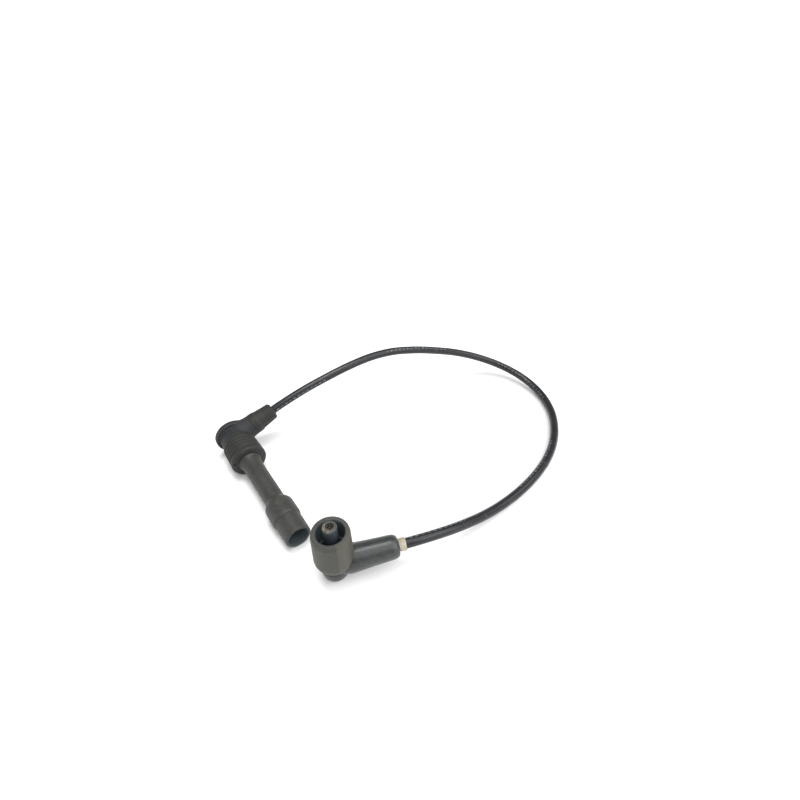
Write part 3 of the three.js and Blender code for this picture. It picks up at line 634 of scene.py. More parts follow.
def cream_sleeving():
    """PVC sleeving, extruded and cut: cream, waxy and faintly clear, yellowed in patches, with
    grime in its small pits."""
    colours = bpy.context.scene.lead_colours
    material, tree, shader, place = blank("cut cream PVC sleeving")
    soil = add(tree, NOISE, {"Vector": place, "Scale": per(1.4 * MM), "Detail": 5.0, "Roughness": 0.75})
    pits = add(tree, RANGE, {"Value": soil, "From Min": 0.56, "From Max": 0.7})
    patch = add(tree, NOISE, {"Vector": place, "Scale": per(4 * MM), "Detail": 2.0})
    patch = add(tree, RANGE, {"Value": patch, "From Min": 0.38, "From Max": 0.62})
    pale, yellow = rgba(colours.band), rgba(colours.band_yellow)
    tone = add(tree, MIX, {0: patch, 6: pale, 7: yellow}, 2, data_type="RGBA")
    tone = add(tree, MIX, {0: pits, 6: tone, 7: rgba(colours.band_soil)}, 2, data_type="RGBA")
    bump = add(tree, BUMP, {"Height": pits, "Strength": 0.6, "Distance": 0.15 * MM}, invert=True)
    feed(tree, shader, {"Base Color": tone, "Normal": bump, "Roughness": 0.5})
    depths = (1.0 * MM, 0.8 * MM, 0.6 * MM)
    feed(tree, shader, {"Subsurface Weight": 0.1, "Subsurface Radius": depths, "Subsurface Scale": 1.0})
    return material


def metal(name, clean, dull, rough, spot):
    """A metal with dull spots of the given size, which are also rougher."""
    material, tree, shader, place = blank(name)
    spots = add(tree, NOISE, {"Vector": place, "Scale": per(spot), "Detail": 5.0, "Roughness": 0.7})
    mask = add(tree, RANGE, {"Value": spots, "From Min": 0.4, "From Max": 0.62})
    tone = add(tree, MIX, {0: mask, 6: rgba(clean), 7: rgba(dull)}, 2, data_type="RGBA")
    spread = add(tree, RANGE, {"Value": mask, "To Min": rough, "To Max": rough + 0.3})
    bump = add(tree, BUMP, {"Height": spots, "Strength": 0.2, "Distance": 0.03 * MM})
    feed(tree, shader, {"Base Color": tone, "Roughness": spread, "Normal": bump, "Metallic": 1.0})
    return material


def burnt_brass():
    """Folded brass strip, browned and dulled by sparks at the contact."""
    return metal("folded brass, spark browned", to_linear("6d675a"), to_linear("2b2821"), 0.5, 0.8 * MM)


def tarnished_brass():
    """Turned brass, browned by heat and damp: warm, with dark brown patches."""
    return metal("turned brass, browned", to_linear("a98a4e"), to_linear("4f3b22"), 0.34, 1.2 * MM)


def plated_steel():
    """Pressed steel with a zinc plating: pale grey with a soft sparkle."""
    return metal("zinc plated steel", to_linear("b9b8b0"), to_linear("8b8b86"), 0.3, 1.5 * MM)


def spring_wire():
    """Drawn spring steel wire: even and smooth."""
    return metal("drawn spring steel", to_linear("9c9ea0"), to_linear("6d6f71"), 0.24, 2.5 * MM)


def fired_ceramic():
    """Fired steatite: off-white and matt, with fine dark specks."""
    material, tree, shader, place = blank("fired steatite")
    specks = add(tree, NOISE, {"Vector": place, "Scale": per(0.6 * MM), "Detail": 3.0})
    mask = add(tree, RANGE, {"Value": specks, "From Min": 0.6, "From Max": 0.72})
    pale, dark = rgba(to_linear("cbc6b8")), rgba(to_linear("8d877a"))
    tone = add(tree, MIX, {0: mask, 6: pale, 7: dark}, 2, data_type="RGBA")
    bump = add(tree, BUMP, {"Height": specks, "Strength": 0.2, "Distance": 0.03 * MM})
    feed(tree, shader, {"Base Color": tone, "Normal": bump, "Roughness": 0.7})
    return material


def carbon_core():
    """Aramid strands filled with carbon: black and dull, with the strands' lay showing."""
    material, tree, shader, place = blank("carbon filled strands")
    lay = {"Vector": place, "Scale": per(2.4 * MM), "Distortion": 3.0}
    strands = add(tree, "ShaderNodeTexWave", lay, "Fac")
    black, grey = rgba(to_linear("1b1b1c")), rgba(to_linear("343435"))
    tone = add(tree, MIX, {0: strands, 6: black, 7: grey}, 2, data_type="RGBA")
    bump = add(tree, BUMP, {"Height": strands, "Strength": 0.4, "Distance": 0.1 * MM})
    feed(tree, shader, {"Base Color": tone, "Normal": bump, "Roughness": 0.85})
    return material


def dressed(piece, material, slot, *nodes):
    """Gives a new piece its material and body and hides the nodes that it stands for. The slot is not used.
    """
    piece.data.materials.clear()
    piece.data.materials.append(material)
    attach(piece, "root")
    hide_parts(*nodes)


# Stage

CAMERA_AT = (-0.069276, -0.216423, 0.265)
CAMERA_PITCH = math.radians(52)
CAMERA_TURN = math.radians(-36.907)
SENSOR = 36.0
LENS = 441 / 800 * SENSOR
CLIP_START = 0.01
LIT_POINT = (0.05, -0.02, 0.02)
# Each softbox's name, place, side and the setting that holds its power.
SOFTBOXES = (
    ("front softbox", (0.3, -0.7, 0.42), 0.7, "front_power"),
    ("overhead softbox", (-0.004, 0.093, 0.7), 0.22, "top_power"),
    ("side softbox", (-0.6, 0.2, 0.3), 0.5, "side_power"),
)
SKY_DIRECTION = Vector((-0.3, 0.45, -1))
SKY_ANGLE = math.radians(70)
# The studio's walls are white up to 6 degrees above the floor and darken up to 24 degrees.
WALL_TOP = 0.1
CEILING_START = 0.4


def lamp_for(light, at, direction):
    """Hangs a light at a place, shining in the direction."""
    lamp = bpy.data.objects.new(light.name, light)
    lamp.location = at
    lamp.rotation_euler = direction.to_track_quat("-Z", "Y").to_euler()
    bpy.context.scene.collection.objects.link(lamp)


def softbox(name, at, toward, side, watts):
    """A square area light that faces a point."""
    light = bpy.data.lights.new(name, "AREA")
    light.shape = "SQUARE"
    light.size = side
    light.energy = watts
    lamp_for(light, at, Vector(toward) - Vector(at))


def floor_paint(colour_value):
    """Matt studio paper, rolled: near white, with a very faint mottle."""
    material, tree, shader, place = blank("matt studio paper")
    pulp = add(tree, NOISE, {"Vector": place, "Scale": per(0.4), "Detail": 3.0})
    shade, plain = rgba(colour_value, 0.985), rgba(colour_value)
    tone = add(tree, MIX, {0: pulp, 6: shade, 7: plain}, 2, data_type="RGBA")
    feed(tree, shader, {"Base Color": tone, "Roughness": 0.9, "Specular IOR Level": 0.1})
    return material


class LEAD_OT_stage(bpy.types.Operator):
    """Sets up the camera, the pale floor and the soft studio light"""

    bl_idname = "lead.stage"
    bl_label = "Stage"

    def execute(self, context):
        settings = context.scene.lead_stage
        camera = bpy.data.objects.new("camera", bpy.data.cameras.new("camera"))
        camera.data.sensor_width = SENSOR
        camera.data.lens = LENS
        camera.data.clip_start = CLIP_START
        camera.location = CAMERA_AT
        camera.rotation_euler = (CAMERA_PITCH, 0, CAMERA_TURN)
        context.scene.collection.objects.link(camera)
        context.scene.camera = camera

        half = settings.floor_side / 2
        mesh = bpy.data.meshes.new("floor")
        corners = [(-half, -half, 0), (half, -half, 0), (half, half, 0), (-half, half, 0)]
        mesh.from_pydata(corners, [], [(0, 1, 2, 3)])
        mesh.materials.append(floor_paint(settings.floor_colour))
        floor = bpy.data.objects.new("floor", mesh)
        context.scene.collection.objects.link(floor)

        world = bpy.data.worlds.new("surround")
        world.use_nodes = True
        tree = world.node_tree
        background = tree.nodes["Background"]
        height = add(tree, "ShaderNodeTexCoord", out="Generated")
        height = add(tree, "ShaderNodeSeparateXYZ", {"Vector": height}, "Z")
        wall, ceiling = settings.wall_strength, settings.ceiling_strength
        limits = {"From Min": WALL_TOP, "From Max": CEILING_START, "To Min": wall, "To Max": ceiling}
        glow = add(tree, RANGE, {"Value": height, **limits})
        feed(tree, background, {"Strength": glow, "Color": (1, 1, 1, 1)})
        context.scene.world = world
        context.scene.view_settings.view_transform = "Standard"
        for name, at, side, setting in SOFTBOXES:
            softbox(name, at, LIT_POINT, side, getattr(settings, setting))
        skylight = bpy.data.lights.new("skylight", "SUN")
        skylight.energy = settings.skylight
        skylight.angle = SKY_ANGLE
        lamp_for(skylight, (0, 0, 0), SKY_DIRECTION)
        return {"FINISHED"}


# Cable

def smooth_route(points, per_span):
    """A centripetal Catmull-Rom curve through the points: on each span, with knots t a square root of
    the chord apart, C = lerp(lerp(A1, A2), lerp(A2, A3)) where the A are lerps of neighbouring points."""
    padded = np.concatenate([[2 * points[0] - points[1]], points, [2 * points[-1] - points[-2]]])
    p0, p1, p2, p3 = padded[:-3], padded[1:-2], padded[2:-1], padded[3:]

    def knot(a, b):
        """The step between two knots: the square root of the chord."""
        return np.sqrt(np.linalg.norm(b - a, axis=1))[:, None, None]

    t1 = knot(p0, p1)
    t2 = t1 + knot(p1, p2)
    t3 = t2 + knot(p2, p3)
    t = t1 + (t2 - t1) * np.linspace(0, 1, per_span, endpoint=False)[None, :, None]
    p0, p1, p2, p3 = (p[:, None, :] for p in (p0, p1, p2, p3))
    a1 = p0 + (p1 - p0) * t / t1
    a2 = p1 + (p2 - p1) * (t - t1) / (t2 - t1)
    a3 = p2 + (p3 - p2) * (t - t2) / (t3 - t2)
    b1 = a1 + (a2 - a1) * t / t2
    b2 = a2 + (a3 - a2) * (t - t1) / (t3 - t1)
    curve = b1 + (b2 - b1) * (t - t1) / (t2 - t1)
    return np.concatenate([curve.reshape(-1, 3), points[-1:]])


def tube(route, radius, columns):
    """A round tube along a route that never stands upright: p + r (cos a n + sin a b), where n is the
    level normal up x t and b is t x n."""
    ahead = np.gradient(route, axis=0)
    ahead /= np.linalg.norm(ahead, axis=1)[:, None]
    level = np.cross((0, 0, 1), ahead)
    level /= np.linalg.norm(level, axis=1)[:, None]
    upward = np.cross(ahead, level)
    angles = np.linspace(0, 2 * np.pi, columns, endpoint=False)[None, :, None]
    radius = np.broadcast_to(radius, len(route))[:, None, None]
    around = np.cos(angles) * level[:, None, :] + np.sin(angles) * upward[:, None, :]
    return route[:, None, :] + radius * around


# The turn round the cable, from 0 level through 0.25 on top, at which its row of dashes lies at each run.
ROW_RUN = (0.16, 0.3, 0.43, 0.53)
ROW_TURN = (0.2, 0.12, 0.18, 0.02)


def mapped(piece, route, columns):
    """Gives a tube its own map: the run along the route in metres, and the turn round it, from 0 to 1,
    less the turn of the row of dashes and with a half added."""
    run = np.concatenate([[0], np.cumsum(np.linalg.norm(np.diff(route, axis=0), axis=1))])
    mesh = piece.data
    corners = np.zeros(len(mesh.loops), int)
    mesh.loops.foreach_get("vertex_index", corners)
    starts = np.zeros(len(mesh.polygons), int)
    mesh.polygons.foreach_get("loop_start", starts)
    column = corners % columns
    spans = np.maximum.reduceat(column, starts) - np.minimum.reduceat(column, starts)
    wraps = np.repeat(spans > 2, np.diff(np.append(starts, len(corners))))
    turn = np.where(wraps & (column < 2), column + columns, column) / columns
    at_run = run[np.minimum(corners // columns, len(run) - 1)]
    turn += 0.5 - np.interp(at_run, ROW_RUN, ROW_TURN)
    layer = mesh.uv_layers.new(name="surface")
    layer.uv.foreach_set("vector", np.stack([at_run, turn], axis=1).astype(np.float32).ravel())


class LEAD_OT_cable(bpy.types.Operator):
    """Lays the ignition cable along its route, with the marker band beside the coil boot"""

    bl_idname = "lead.cable"
    bl_label = "Cable and band"

    def execute(self, context):
        sizes = context.scene.lead_cable
        coil = context.scene.lead_coil
        route = smooth_route(CABLE_ROUTE, CABLE_SPAN_ROWS)
        lead = made("ignition_lead_cable", [tube(route, sizes.radius, CABLE_COLUMNS)], [False])
        mapped(lead, route, CABLE_COLUMNS)
        dressed(lead, cable_jacket(sizes.radius), "cable_jacket", "ignition_cable")

        start = coil.branch_reach + FIT_GAP
        end = start + sizes.band_length
        outer, bore = sizes.band_radius, sizes.radius + FIT_GAP
        corners = [
            (outer - 0.1 * MM, start, 0.2 * MM),
            (outer + 0.05 * MM, (start + end) / 2, 1 * MM),
            (outer - 0.1 * MM, end, 0.2 * MM),
            (bore, end, 0.1 * MM),
            (bore, start, 0.1 * MM),
        ]

        def dents(angle, place):
            """Slow waves round the band, about 0.1 mm deep: sin(3a + t) + 0.5 sin(5a - 1.3t), t in mm."""
            return 0.07 * MM * (np.sin(3 * angle + place / MM) + 0.5 * np.sin(5 * angle - 1.3 * place / MM))

        branch_frame = coil_branch(coil.branch_height)
        band = turned_ring("marker_band_sleeve", corners, 0.25 * MM, 72, branch_frame, dents)
        dressed(band, cream_sleeving(), "cream_sleeving", "marker_band")
        return {"FINISHED"}


# Plug connector

SLEEVE_START = 17.75 * MM
SLEEVE_STEP_AT = 24.0 * MM
# The parting lines' width and height
SLEEVE_SEAM = (0.3 * MM, 0.07 * MM)
SPIGOT_RADIUS = 6.4 * MM
NIPPLE_RADIUS = 6.2 * MM
NIPPLE_REACH = 26.0 * MM
COLLAR_START = 11.0 * MM
COLLAR_WEB_END = 32.5 * MM
# The mark of a moulding pin in the collar's front
NOTCH_ANGLE = math.radians(145)
NOTCH_INSET = 1.9 * MM
NOTCH_DEPTH = 1.9 * MM
NOTCH_RADIUS = 0.8 * MM
GROOVE_COUNT = 4
GROOVE_START = 15.0 * MM
GROOVE_PITCH = 3.8 * MM
GROOVE_HALF = 1.15 * MM
GROOVE_FLAT = 0.35 * MM
RING_COUNT = 3
RINGS_BEFORE_END = 7.8 * MM
RING_PITCH = 2.2 * MM
RING_DEPTH = 0.28 * MM
RING_HALF = 0.5 * MM
SQUEEZE = 0.12 * MM
SQUEEZED_LENGTH = 12 * MM
SQUEEZE_TURN = 0.6
BARREL_STUB = 3.6 * MM
BARREL_BORE = 4.0 * MM
SOCKET_SEAT = 79.6 * MM
SOCKET_ROOM = 4.9 * MM
COUNTERBORE = 7.7 * MM
COUNTERBORE_DEPTH = 8.8 * MM
# The room inside the mouldings for the stud, the cable's bared end and the ferrule
STUD_ROOM = 3.1 * MM
NECK_ROOM = 2.4 * MM
NECK_END = 8.3 * MM
FERRULE_ROOM = 4.9 * MM


class LEAD_OT_elbow_head(bpy.types.Operator):
    """Moulds the elbow head: the disc, the hub and the cable branch, run together with small fillets"""

    bl_idname = "lead.elbow_head"
    bl_label = "Elbow head"

    def execute(self, context):
        sizes = context.scene.lead_plug
        disc, hub = sizes.head_radius, sizes.hub_radius
        body = rounded(
            [
                (0, -9.0 * MM),
                (5.4 * MM, -8.9 * MM, 2 * MM),
                (9.0 * MM, -6.6 * MM, 2 * MM),
                (9.6 * MM, -5.0 * MM, 0.6 * MM),
                (disc - 2.6 * MM, -4.9 * MM, 0.5 * MM),
                (disc - 2.0 * MM, -5.4 * MM, 0.5 * MM),
                (disc, -5.4 * MM, 1.4 * MM),
                (disc, -0.7 * MM, 1.4 * MM),
                (11.6 * MM, -0.8 * MM, 1.0 * MM),
                (11.2 * MM, 0.2 * MM, 0.8 * MM),
                (hub - 0.4 * MM, 5.0 * MM, 3 * MM),
                (hub, sizes.hub_end - SOFT_EDGE, 0.8 * MM),
                (hub - LIGHT_EDGE, sizes.hub_end, 0.3 * MM),
                (0, sizes.hub_end),
            ],
            PROFILE_STEP,
        )
        root = 10.6 * MM
        thick = sizes.branch_radius + 1.8 * MM
        branch = rounded(
            [
                (0, 2 * MM),
                (thick, 2 * MM),
                (thick, root - 1.2 * MM, 1 * MM),
                (sizes.branch_radius, root + 1.6 * MM, 2.5 * MM),
                (sizes.branch_end, sizes.branch_reach - 0.1 * MM, 0.2 * MM),
                (NIPPLE_RADIUS, sizes.branch_reach, 0.3 * MM),
                (NIPPLE_RADIUS, NIPPLE_REACH, 0.3 * MM),
                (0, NIPPLE_REACH),
            ],
            PROFILE_STEP,
        )
        grids = [turned(body, BODY_COLUMNS, BARREL), turned(branch, BRANCH_COLUMNS, PLUG_BRANCH)]
        head = made("elbow_head_moulding", grids, [False, False])
        moulded_together(head, MERGE_VOXEL, 6)
        spigot_room = SPIGOT_RADIUS + FIT_GAP
        spigot_seat = BARREL_STUB - FIT_GAP
        socket = [
            (0, -3 * MM),
            (STUD_ROOM, -3 * MM),
            (STUD_ROOM, spigot_seat),
            (spigot_room, spigot_seat),
            (spigot_room, 12 * MM),
            (0, 12 * MM),
        ]
        chamber = [
            (0, -3 * MM),
            (NECK_ROOM, -3 * MM),
            (NECK_ROOM, NECK_END),
            (FERRULE_ROOM, NECK_END),
            (FERRULE_ROOM, 28 * MM),
            (0, 28 * MM),
        ]
        hollowed(
            head,
            cut_shape("barrel_socket_cut", socket, BARREL),
            cut_shape("ferrule_chamber_cut", chamber, PLUG_BRANCH),
        )
        dressed(head, head_moulding(), "elbow_moulding", "plug_elbow_head")
        return {"FINISHED"}


class LEAD_OT_cable_sleeve(bpy.types.Operator):
    """Turns the ribbed rubber sleeve over the plug connector's cable branch"""

    bl_idname = "lead.cable_sleeve"
    bl_label = "Cable sleeve"

    def execute(self, context):
        sizes = context.scene.lead_plug
        end, waist = sizes.sleeve_reach, sizes.sleeve_radius
        collar = waist + 0.7 * MM
        bore = context.scene.lead_cable.radius + FIT_GAP
        slope = 1.1 * MM / (end - SLEEVE_STEP_AT)
        corners = [
            (collar, SLEEVE_START, 0.2 * MM),
            (collar, SLEEVE_STEP_AT - 1.4 * MM, 0.8 * MM),
            (waist, SLEEVE_STEP_AT, 0.8 * MM),
        ]
        for i in range(RING_COUNT):
            at = end - RINGS_BEFORE_END + i * RING_PITCH
            radius = waist - slope * (at - SLEEVE_STEP_AT)
            corners.append((radius + 0.05 * MM, at - RING_HALF, 0.3 * MM))
            corners.append((radius - RING_DEPTH, at, 0.3 * MM))
            corners.append((radius + 0.05 * MM, at + RING_HALF, 0.3 * MM))
        corners += [
            (waist - 1.1 * MM, end - 1.4 * MM, 1.0 * MM),
            (5.6 * MM, end, 1.0 * MM),
            (bore, end, 0.3 * MM),
            (bore, NIPPLE_REACH + FIT_GAP, 0.2 * MM),
            (NIPPLE_RADIUS + FIT_GAP, NIPPLE_REACH + FIT_GAP, 0.2 * MM),
            (NIPPLE_RADIUS + FIT_GAP, SLEEVE_START, 0.2 * MM),
        ]

        def seams(angle, place):
            """Two parting lines, level with the branch's axis."""
            return parting_lines(angle, -math.pi / 2, *SLEEVE_SEAM, waist)

        sleeve = turned_ring("ribbed_cable_sleeve", corners, PROFILE_STEP, BODY_COLUMNS, PLUG_BRANCH, seams)
        dressed(sleeve, seal_rubber(), "boot_rubber", "plug_cable_sleeve")
        return {"FINISHED"}


class LEAD_OT_seal_collar(bpy.types.Operator):
    """Turns the grooved collar that seals the plug well, with a moulding pin's mark in its front"""

    bl_idname = "lead.seal_collar"
    bl_label = "Seal collar"

    def execute(self, context):
        sizes = context.scene.lead_plug
        rim, reach, depth = sizes.collar_radius, sizes.collar_reach, sizes.groove_depth
        back = rim - 0.7 * MM
        slope = (rim - back) / (reach - COLLAR_START)
        corners = [
            (back - LIGHT_EDGE, COLLAR_START, 0.3 * MM),
            (back, COLLAR_START + SOFT_EDGE, 0.6 * MM),
        ]
        for i in range(GROOVE_COUNT):
            at = GROOVE_START + i * GROOVE_PITCH
            radius = back + slope * (at - COLLAR_START)
            corners.append((radius, at - GROOVE_HALF, 0.7 * MM))
            corners.append((radius - depth, at - GROOVE_FLAT, 0.5 * MM))
            corners.append((radius - depth, at + GROOVE_FLAT, 0.5 * MM))
            corners.append((radius, at + GROOVE_HALF, 0.7 * MM))
        corners += [
            (rim, reach - 1.3 * MM, 0.8 * MM),
            (rim - 1.0 * MM, reach - 0.1 * MM, 0.7 * MM),
            (sizes.barrel_radius + 2.6 * MM, COLLAR_WEB_END, 0.6 * MM),
            (sizes.barrel_radius + FIT_GAP, COLLAR_WEB_END, 0.2 * MM),
            (sizes.barrel_radius + FIT_GAP, COLLAR_START, 0.2 * MM),
        ]
        collar = turned_ring("well_seal_moulding", corners, PROFILE_STEP, 176, BARREL)
        offset = (rim - NOTCH_INSET) * Vector((math.cos(NOTCH_ANGLE), math.sin(NOTCH_ANGLE), 0))
        bottom, past = reach - NOTCH_DEPTH, reach + 1 * MM
        pin = [(0, bottom), (NOTCH_RADIUS, bottom, 0.2 * MM), (NOTCH_RADIUS, past), (0, past)]
        pin_frame = BARREL @ Matrix.Translation(offset)
        hollowed(collar, cut_shape("notch_cut", pin, pin_frame, PROFILE_STEP, 32))
        dressed(collar, seal_rubber(), "boot_rubber", "well_seal_collar")
        return {"FINISHED"}


class LEAD_OT_barrel(bpy.types.Operator):
    """Turns the long barrel, with its flange, taper and the housing round the terminal socket"""

    bl_idname = "lead.barrel"
    bl_label = "Barrel"

    def execute(self, context):
        sizes = context.scene.lead_plug
        radius, housing, end = sizes.barrel_radius, sizes.housing_radius, sizes.barrel_end
        flange = COLLAR_WEB_END + 0.1 * MM
        corners = [
            (SPIGOT_RADIUS, BARREL_STUB, 0.2 * MM),
            (SPIGOT_RADIUS, COLLAR_START, 0.2 * MM),
            (radius, COLLAR_START, 0.2 * MM),
            (radius, flange, 0.2 * MM),
            (radius + 1.6 * MM, flange, 0.1 * MM),
            (radius + 1.4 * MM, flange + 0.8 * MM, 0.4 * MM),
            (radius + 0.7 * MM, flange + 2.5 * MM, 1.4 * MM),
            (radius, 40 * MM, 4 * MM),
            (radius, 79.4 * MM, 1.6 * MM),
            (housing - 0.5 * MM, 83.0 * MM, 1.4 * MM),
            (housing, 85.6 * MM, 1.5 * MM),
            (housing, end - 1.5 * MM, 0.8 * MM),
            (housing - 0.75 * MM, end, 0.1 * MM),
            (COUNTERBORE, end, 0.2 * MM),
            (COUNTERBORE, end - COUNTERBORE_DEPTH, 0.2 * MM),
            (SOCKET_ROOM, end - COUNTERBORE_DEPTH, 0.2 * MM),
            (SOCKET_ROOM, SOCKET_SEAT, 0.2 * MM),
            (BARREL_BORE, SOCKET_SEAT, 0.2 * MM),
            (BARREL_BORE, 11.7 * MM, 0.2 * MM),
            (STUD_ROOM, 11.7 * MM, 0.2 * MM),
            (STUD_ROOM, BARREL_STUB, 0.2 * MM),
        ]
        barrel = turned_ring("barrel_moulding", corners, 0.7 * MM, BODY_COLUMNS, BARREL)
        dressed(barrel, boot_rubber(), "boot_rubber", "plug_barrel")
        return {"FINISHED"}


class LEAD_OT_tip_sleeve(bpy.types.Operator):
    """Turns the sleeve with the connector's mouth, which slips over the spark plug"""

    bl_idname = "lead.tip_sleeve"
    bl_label = "Mouth sleeve"

    def execute(self, context):
        sizes = context.scene.lead_plug
        tip, mouth, reach = sizes.tip_radius, sizes.mouth_radius, sizes.mouth_reach
        start = sizes.barrel_end + 0.05 * MM
        inner = sizes.barrel_end - COUNTERBORE_DEPTH + FIT_GAP
        bore_start = reach - 11.5 * MM
        socket_room = 5.2 * MM
        corners = [
            (COUNTERBORE - FIT_GAP, inner, 0.2 * MM),
            (COUNTERBORE - FIT_GAP, start, 0.2 * MM),
            (tip, start, 0.1 * MM),
            (mouth, reach - 0.9 * MM, 0.7 * MM),
            (mouth - 0.7 * MM, reach, 0.4 * MM),
            (sizes.mouth_bore + 0.3 * MM, reach, 0.3 * MM),
            (sizes.mouth_bore, reach - 0.5 * MM, 0.3 * MM),
            (sizes.mouth_bore, bore_start, 1 * MM),
            (socket_room, bore_start - 2.6 * MM, 1 * MM),
            (socket_room, inner, 0.2 * MM),
        ]

        def squeezed(angle, place):
            """A mouth slightly out of round: a squeeze times cos 2a, growing from nothing over the last
            12 mm."""
            near = np.clip((place - (reach - SQUEEZED_LENGTH)) / SQUEEZED_LENGTH, 0, 1)
            return -SQUEEZE * near * np.cos(2 * angle + SQUEEZE_TURN)

        sleeve = turned_ring("mouth_sleeve", corners, PROFILE_STEP, BODY_COLUMNS, BARREL, squeezed)
        # The bore of the mouth is painted paler and bluer, as painted light.
        lit_lining = context.scene.lead_colours.bore
        rubber = with_lit_bore(boot_rubber(), BARREL, sizes.mouth_bore + 0.3 * MM, lit_lining)
        dressed(sleeve, rubber, "boot_rubber", "plug_tip_sleeve")
        return {"FINISHED"}


# Coil boot

SPIGOT_TOP = 27.0 * MM
CUP_FLOOR = 30.0 * MM
CUP_BOTTOM = 13.2 * MM
CUP_COLUMNS = 200
# The parting lines' width and height
CUP_SEAM = (0.28 * MM, 0.12 * MM)
COIL_STUD_ROOM = 2.9 * MM
COIL_STUD_FLOOR = 10.6 * MM
FERRULE_END = 17.9 * MM
CABLE_ROOM = 3.8 * MM
BRANCH_EDGE = 5.6 * MM


def branch_profile(sizes, grown=0.0):
    """The outline of the coil boot's cable branch, made wider by the given amount."""
    root, tip, reach = sizes.branch_radius + grown, sizes.branch_tip + grown, sizes.branch_reach
    return [
        (0, 0),
        (sizes.spigot_radius + grown, 0, 1 * MM),
        (root, 9 * MM, 2 * MM),
        (root, 12 * MM, 2 * MM),
        (root - 0.6 * MM, 20 * MM, 5 * MM),
        (tip, reach - 3.2 * MM, 1.4 * MM),
        (tip - 0.9 * MM, reach - 1.0 * MM, 0.8 * MM),
        (BRANCH_EDGE + grown, reach, 0.6 * MM),
        (0, reach),
    ]


class LEAD_OT_coil_elbow(bpy.types.Operator):
    """Moulds the coil boot's elbow: heel, stem and cable branch in one rubber piece"""

    bl_idname = "lead.coil_elbow"
    bl_label = "Coil elbow"

    def execute(self, context):
        sizes = context.scene.lead_coil
        turn = np.linspace(0, math.radians(110), 28)
        heel = np.stack([sizes.heel_radius * np.sin(turn), sizes.heel_radius * (1 - np.cos(turn))], axis=1)
        waist = sizes.spigot_radius - 0.9 * MM
        stem = rounded(
            [
                (*heel[-1], 0),
                (waist, 12.3 * MM, 0.4 * MM),
                (waist, 13.4 * MM, 0.3 * MM),
                (sizes.spigot_radius, 14.2 * MM, 0.4 * MM),
                (sizes.spigot_radius, SPIGOT_TOP, 0.3 * MM),
                (0, SPIGOT_TOP),
            ],
            PROFILE_STEP,
        )
        upright = np.concatenate([heel, stem[1:]])
        branch_frame = coil_branch(sizes.branch_height)
        branch = rounded(branch_profile(sizes), PROFILE_STEP)
        grids = [turned(upright, BRANCH_COLUMNS, COIL), turned(branch, BRANCH_COLUMNS, branch_frame)]
        elbow = made("coil_elbow_moulding", grids, [False, False])
        moulded_together(elbow, MERGE_VOXEL, 5)
        stud = [
            (0, COIL_STUD_FLOOR),
            (COIL_STUD_ROOM, COIL_STUD_FLOOR),
            (COIL_STUD_ROOM, 28 * MM),
            (0, 28 * MM),
        ]
        chamber = [
            (0, 0),
            (NECK_ROOM, 0),
            (NECK_ROOM, NECK_END),
            (FERRULE_ROOM, NECK_END),
            (FERRULE_ROOM, FERRULE_END),
            (CABLE_ROOM, FERRULE_END),
            (CABLE_ROOM, 43 * MM),
            (0, 43 * MM),
        ]
        hollowed(
            elbow,
            cut_shape("stud_bore_cut", stud, COIL),
            cut_shape("coil_chamber_cut", chamber, branch_frame),
        )
        dressed(elbow, coil_rubber(), "boot_rubber", "coil_elbow_boot")
        return {"FINISHED"}


class LEAD_OT_coil_cup(bpy.types.Operator):
    """Turns the upright cup, with its chamfered rim, its arch over the branch and its parting lines"""

    bl_idname = "lead.coil_cup"
    bl_label = "Coil cup"

    def execute(self, context):
        sizes = context.scene.lead_coil
        shoulder, rim, top, bore = sizes.cup_radius, sizes.cup_rim, sizes.cup_height, sizes.cup_bore
        corners = [
            (8.7 * MM, CUP_BOTTOM, 0.6 * MM),
            (shoulder - 1.0 * MM, 18.6 * MM, 2.0 * MM),
            (shoulder, 21.4 * MM, 2.0 * MM),
            (rim + 0.35 * MM, top - 2.5 * MM, 0.3 * MM),
            (rim + 0.05 * MM, top - 2.0 * MM, 0.3 * MM),
            (rim, top - 0.6 * MM, 0.5 * MM),
            (rim - 0.5 * MM, top, 0.4 * MM),
            (bore + 0.3 * MM, top, 0.3 * MM),
            (bore, top - 0.5 * MM, 0.4 * MM),
            (bore - 0.1 * MM, CUP_FLOOR, 1.2 * MM),
            (sizes.spigot_radius + FIT_GAP, CUP_FLOOR, 0.2 * MM),
            (sizes.spigot_radius + FIT_GAP, CUP_BOTTOM, 0.2 * MM),
        ]

        def seams(angle, place):
            """Two parting lines below the rim's chamfer."""
            low = (place < top - 2.2 * MM) & (place > CUP_BOTTOM + 1 * MM)
            return np.where(low, parting_lines(angle, CUP_PARTING, *CUP_SEAM, shoulder), 0)

        # The bore stays plain, and only the outside gets the parting lines.
        profile = rounded(corners, PROFILE_STEP, loop=True)
        inner = profile[:, 0] < bore + 0.2 * MM
        outer_grid = turned(profile, CUP_COLUMNS, COIL, seams)
        plain_grid = turned(profile, CUP_COLUMNS, COIL)
        outer_grid[inner] = plain_grid[inner]
        cup = made("cup_moulding", [outer_grid], [True])
        clearance = branch_profile(sizes, FIT_GAP)[:5] + [(0, 20 * MM)]
        branch_frame = coil_branch(sizes.branch_height)
        hollowed(cup, cut_shape("branch_arch_cut", clearance, branch_frame, PROFILE_STEP, 96))
        rubber = with_lit_bore(cup_rubber(top), COIL, bore + 0.2 * MM, context.scene.lead_colours.bore)
        dressed(cup, rubber, "cup_rubber", "coil_cup")
        return {"FINISHED"}


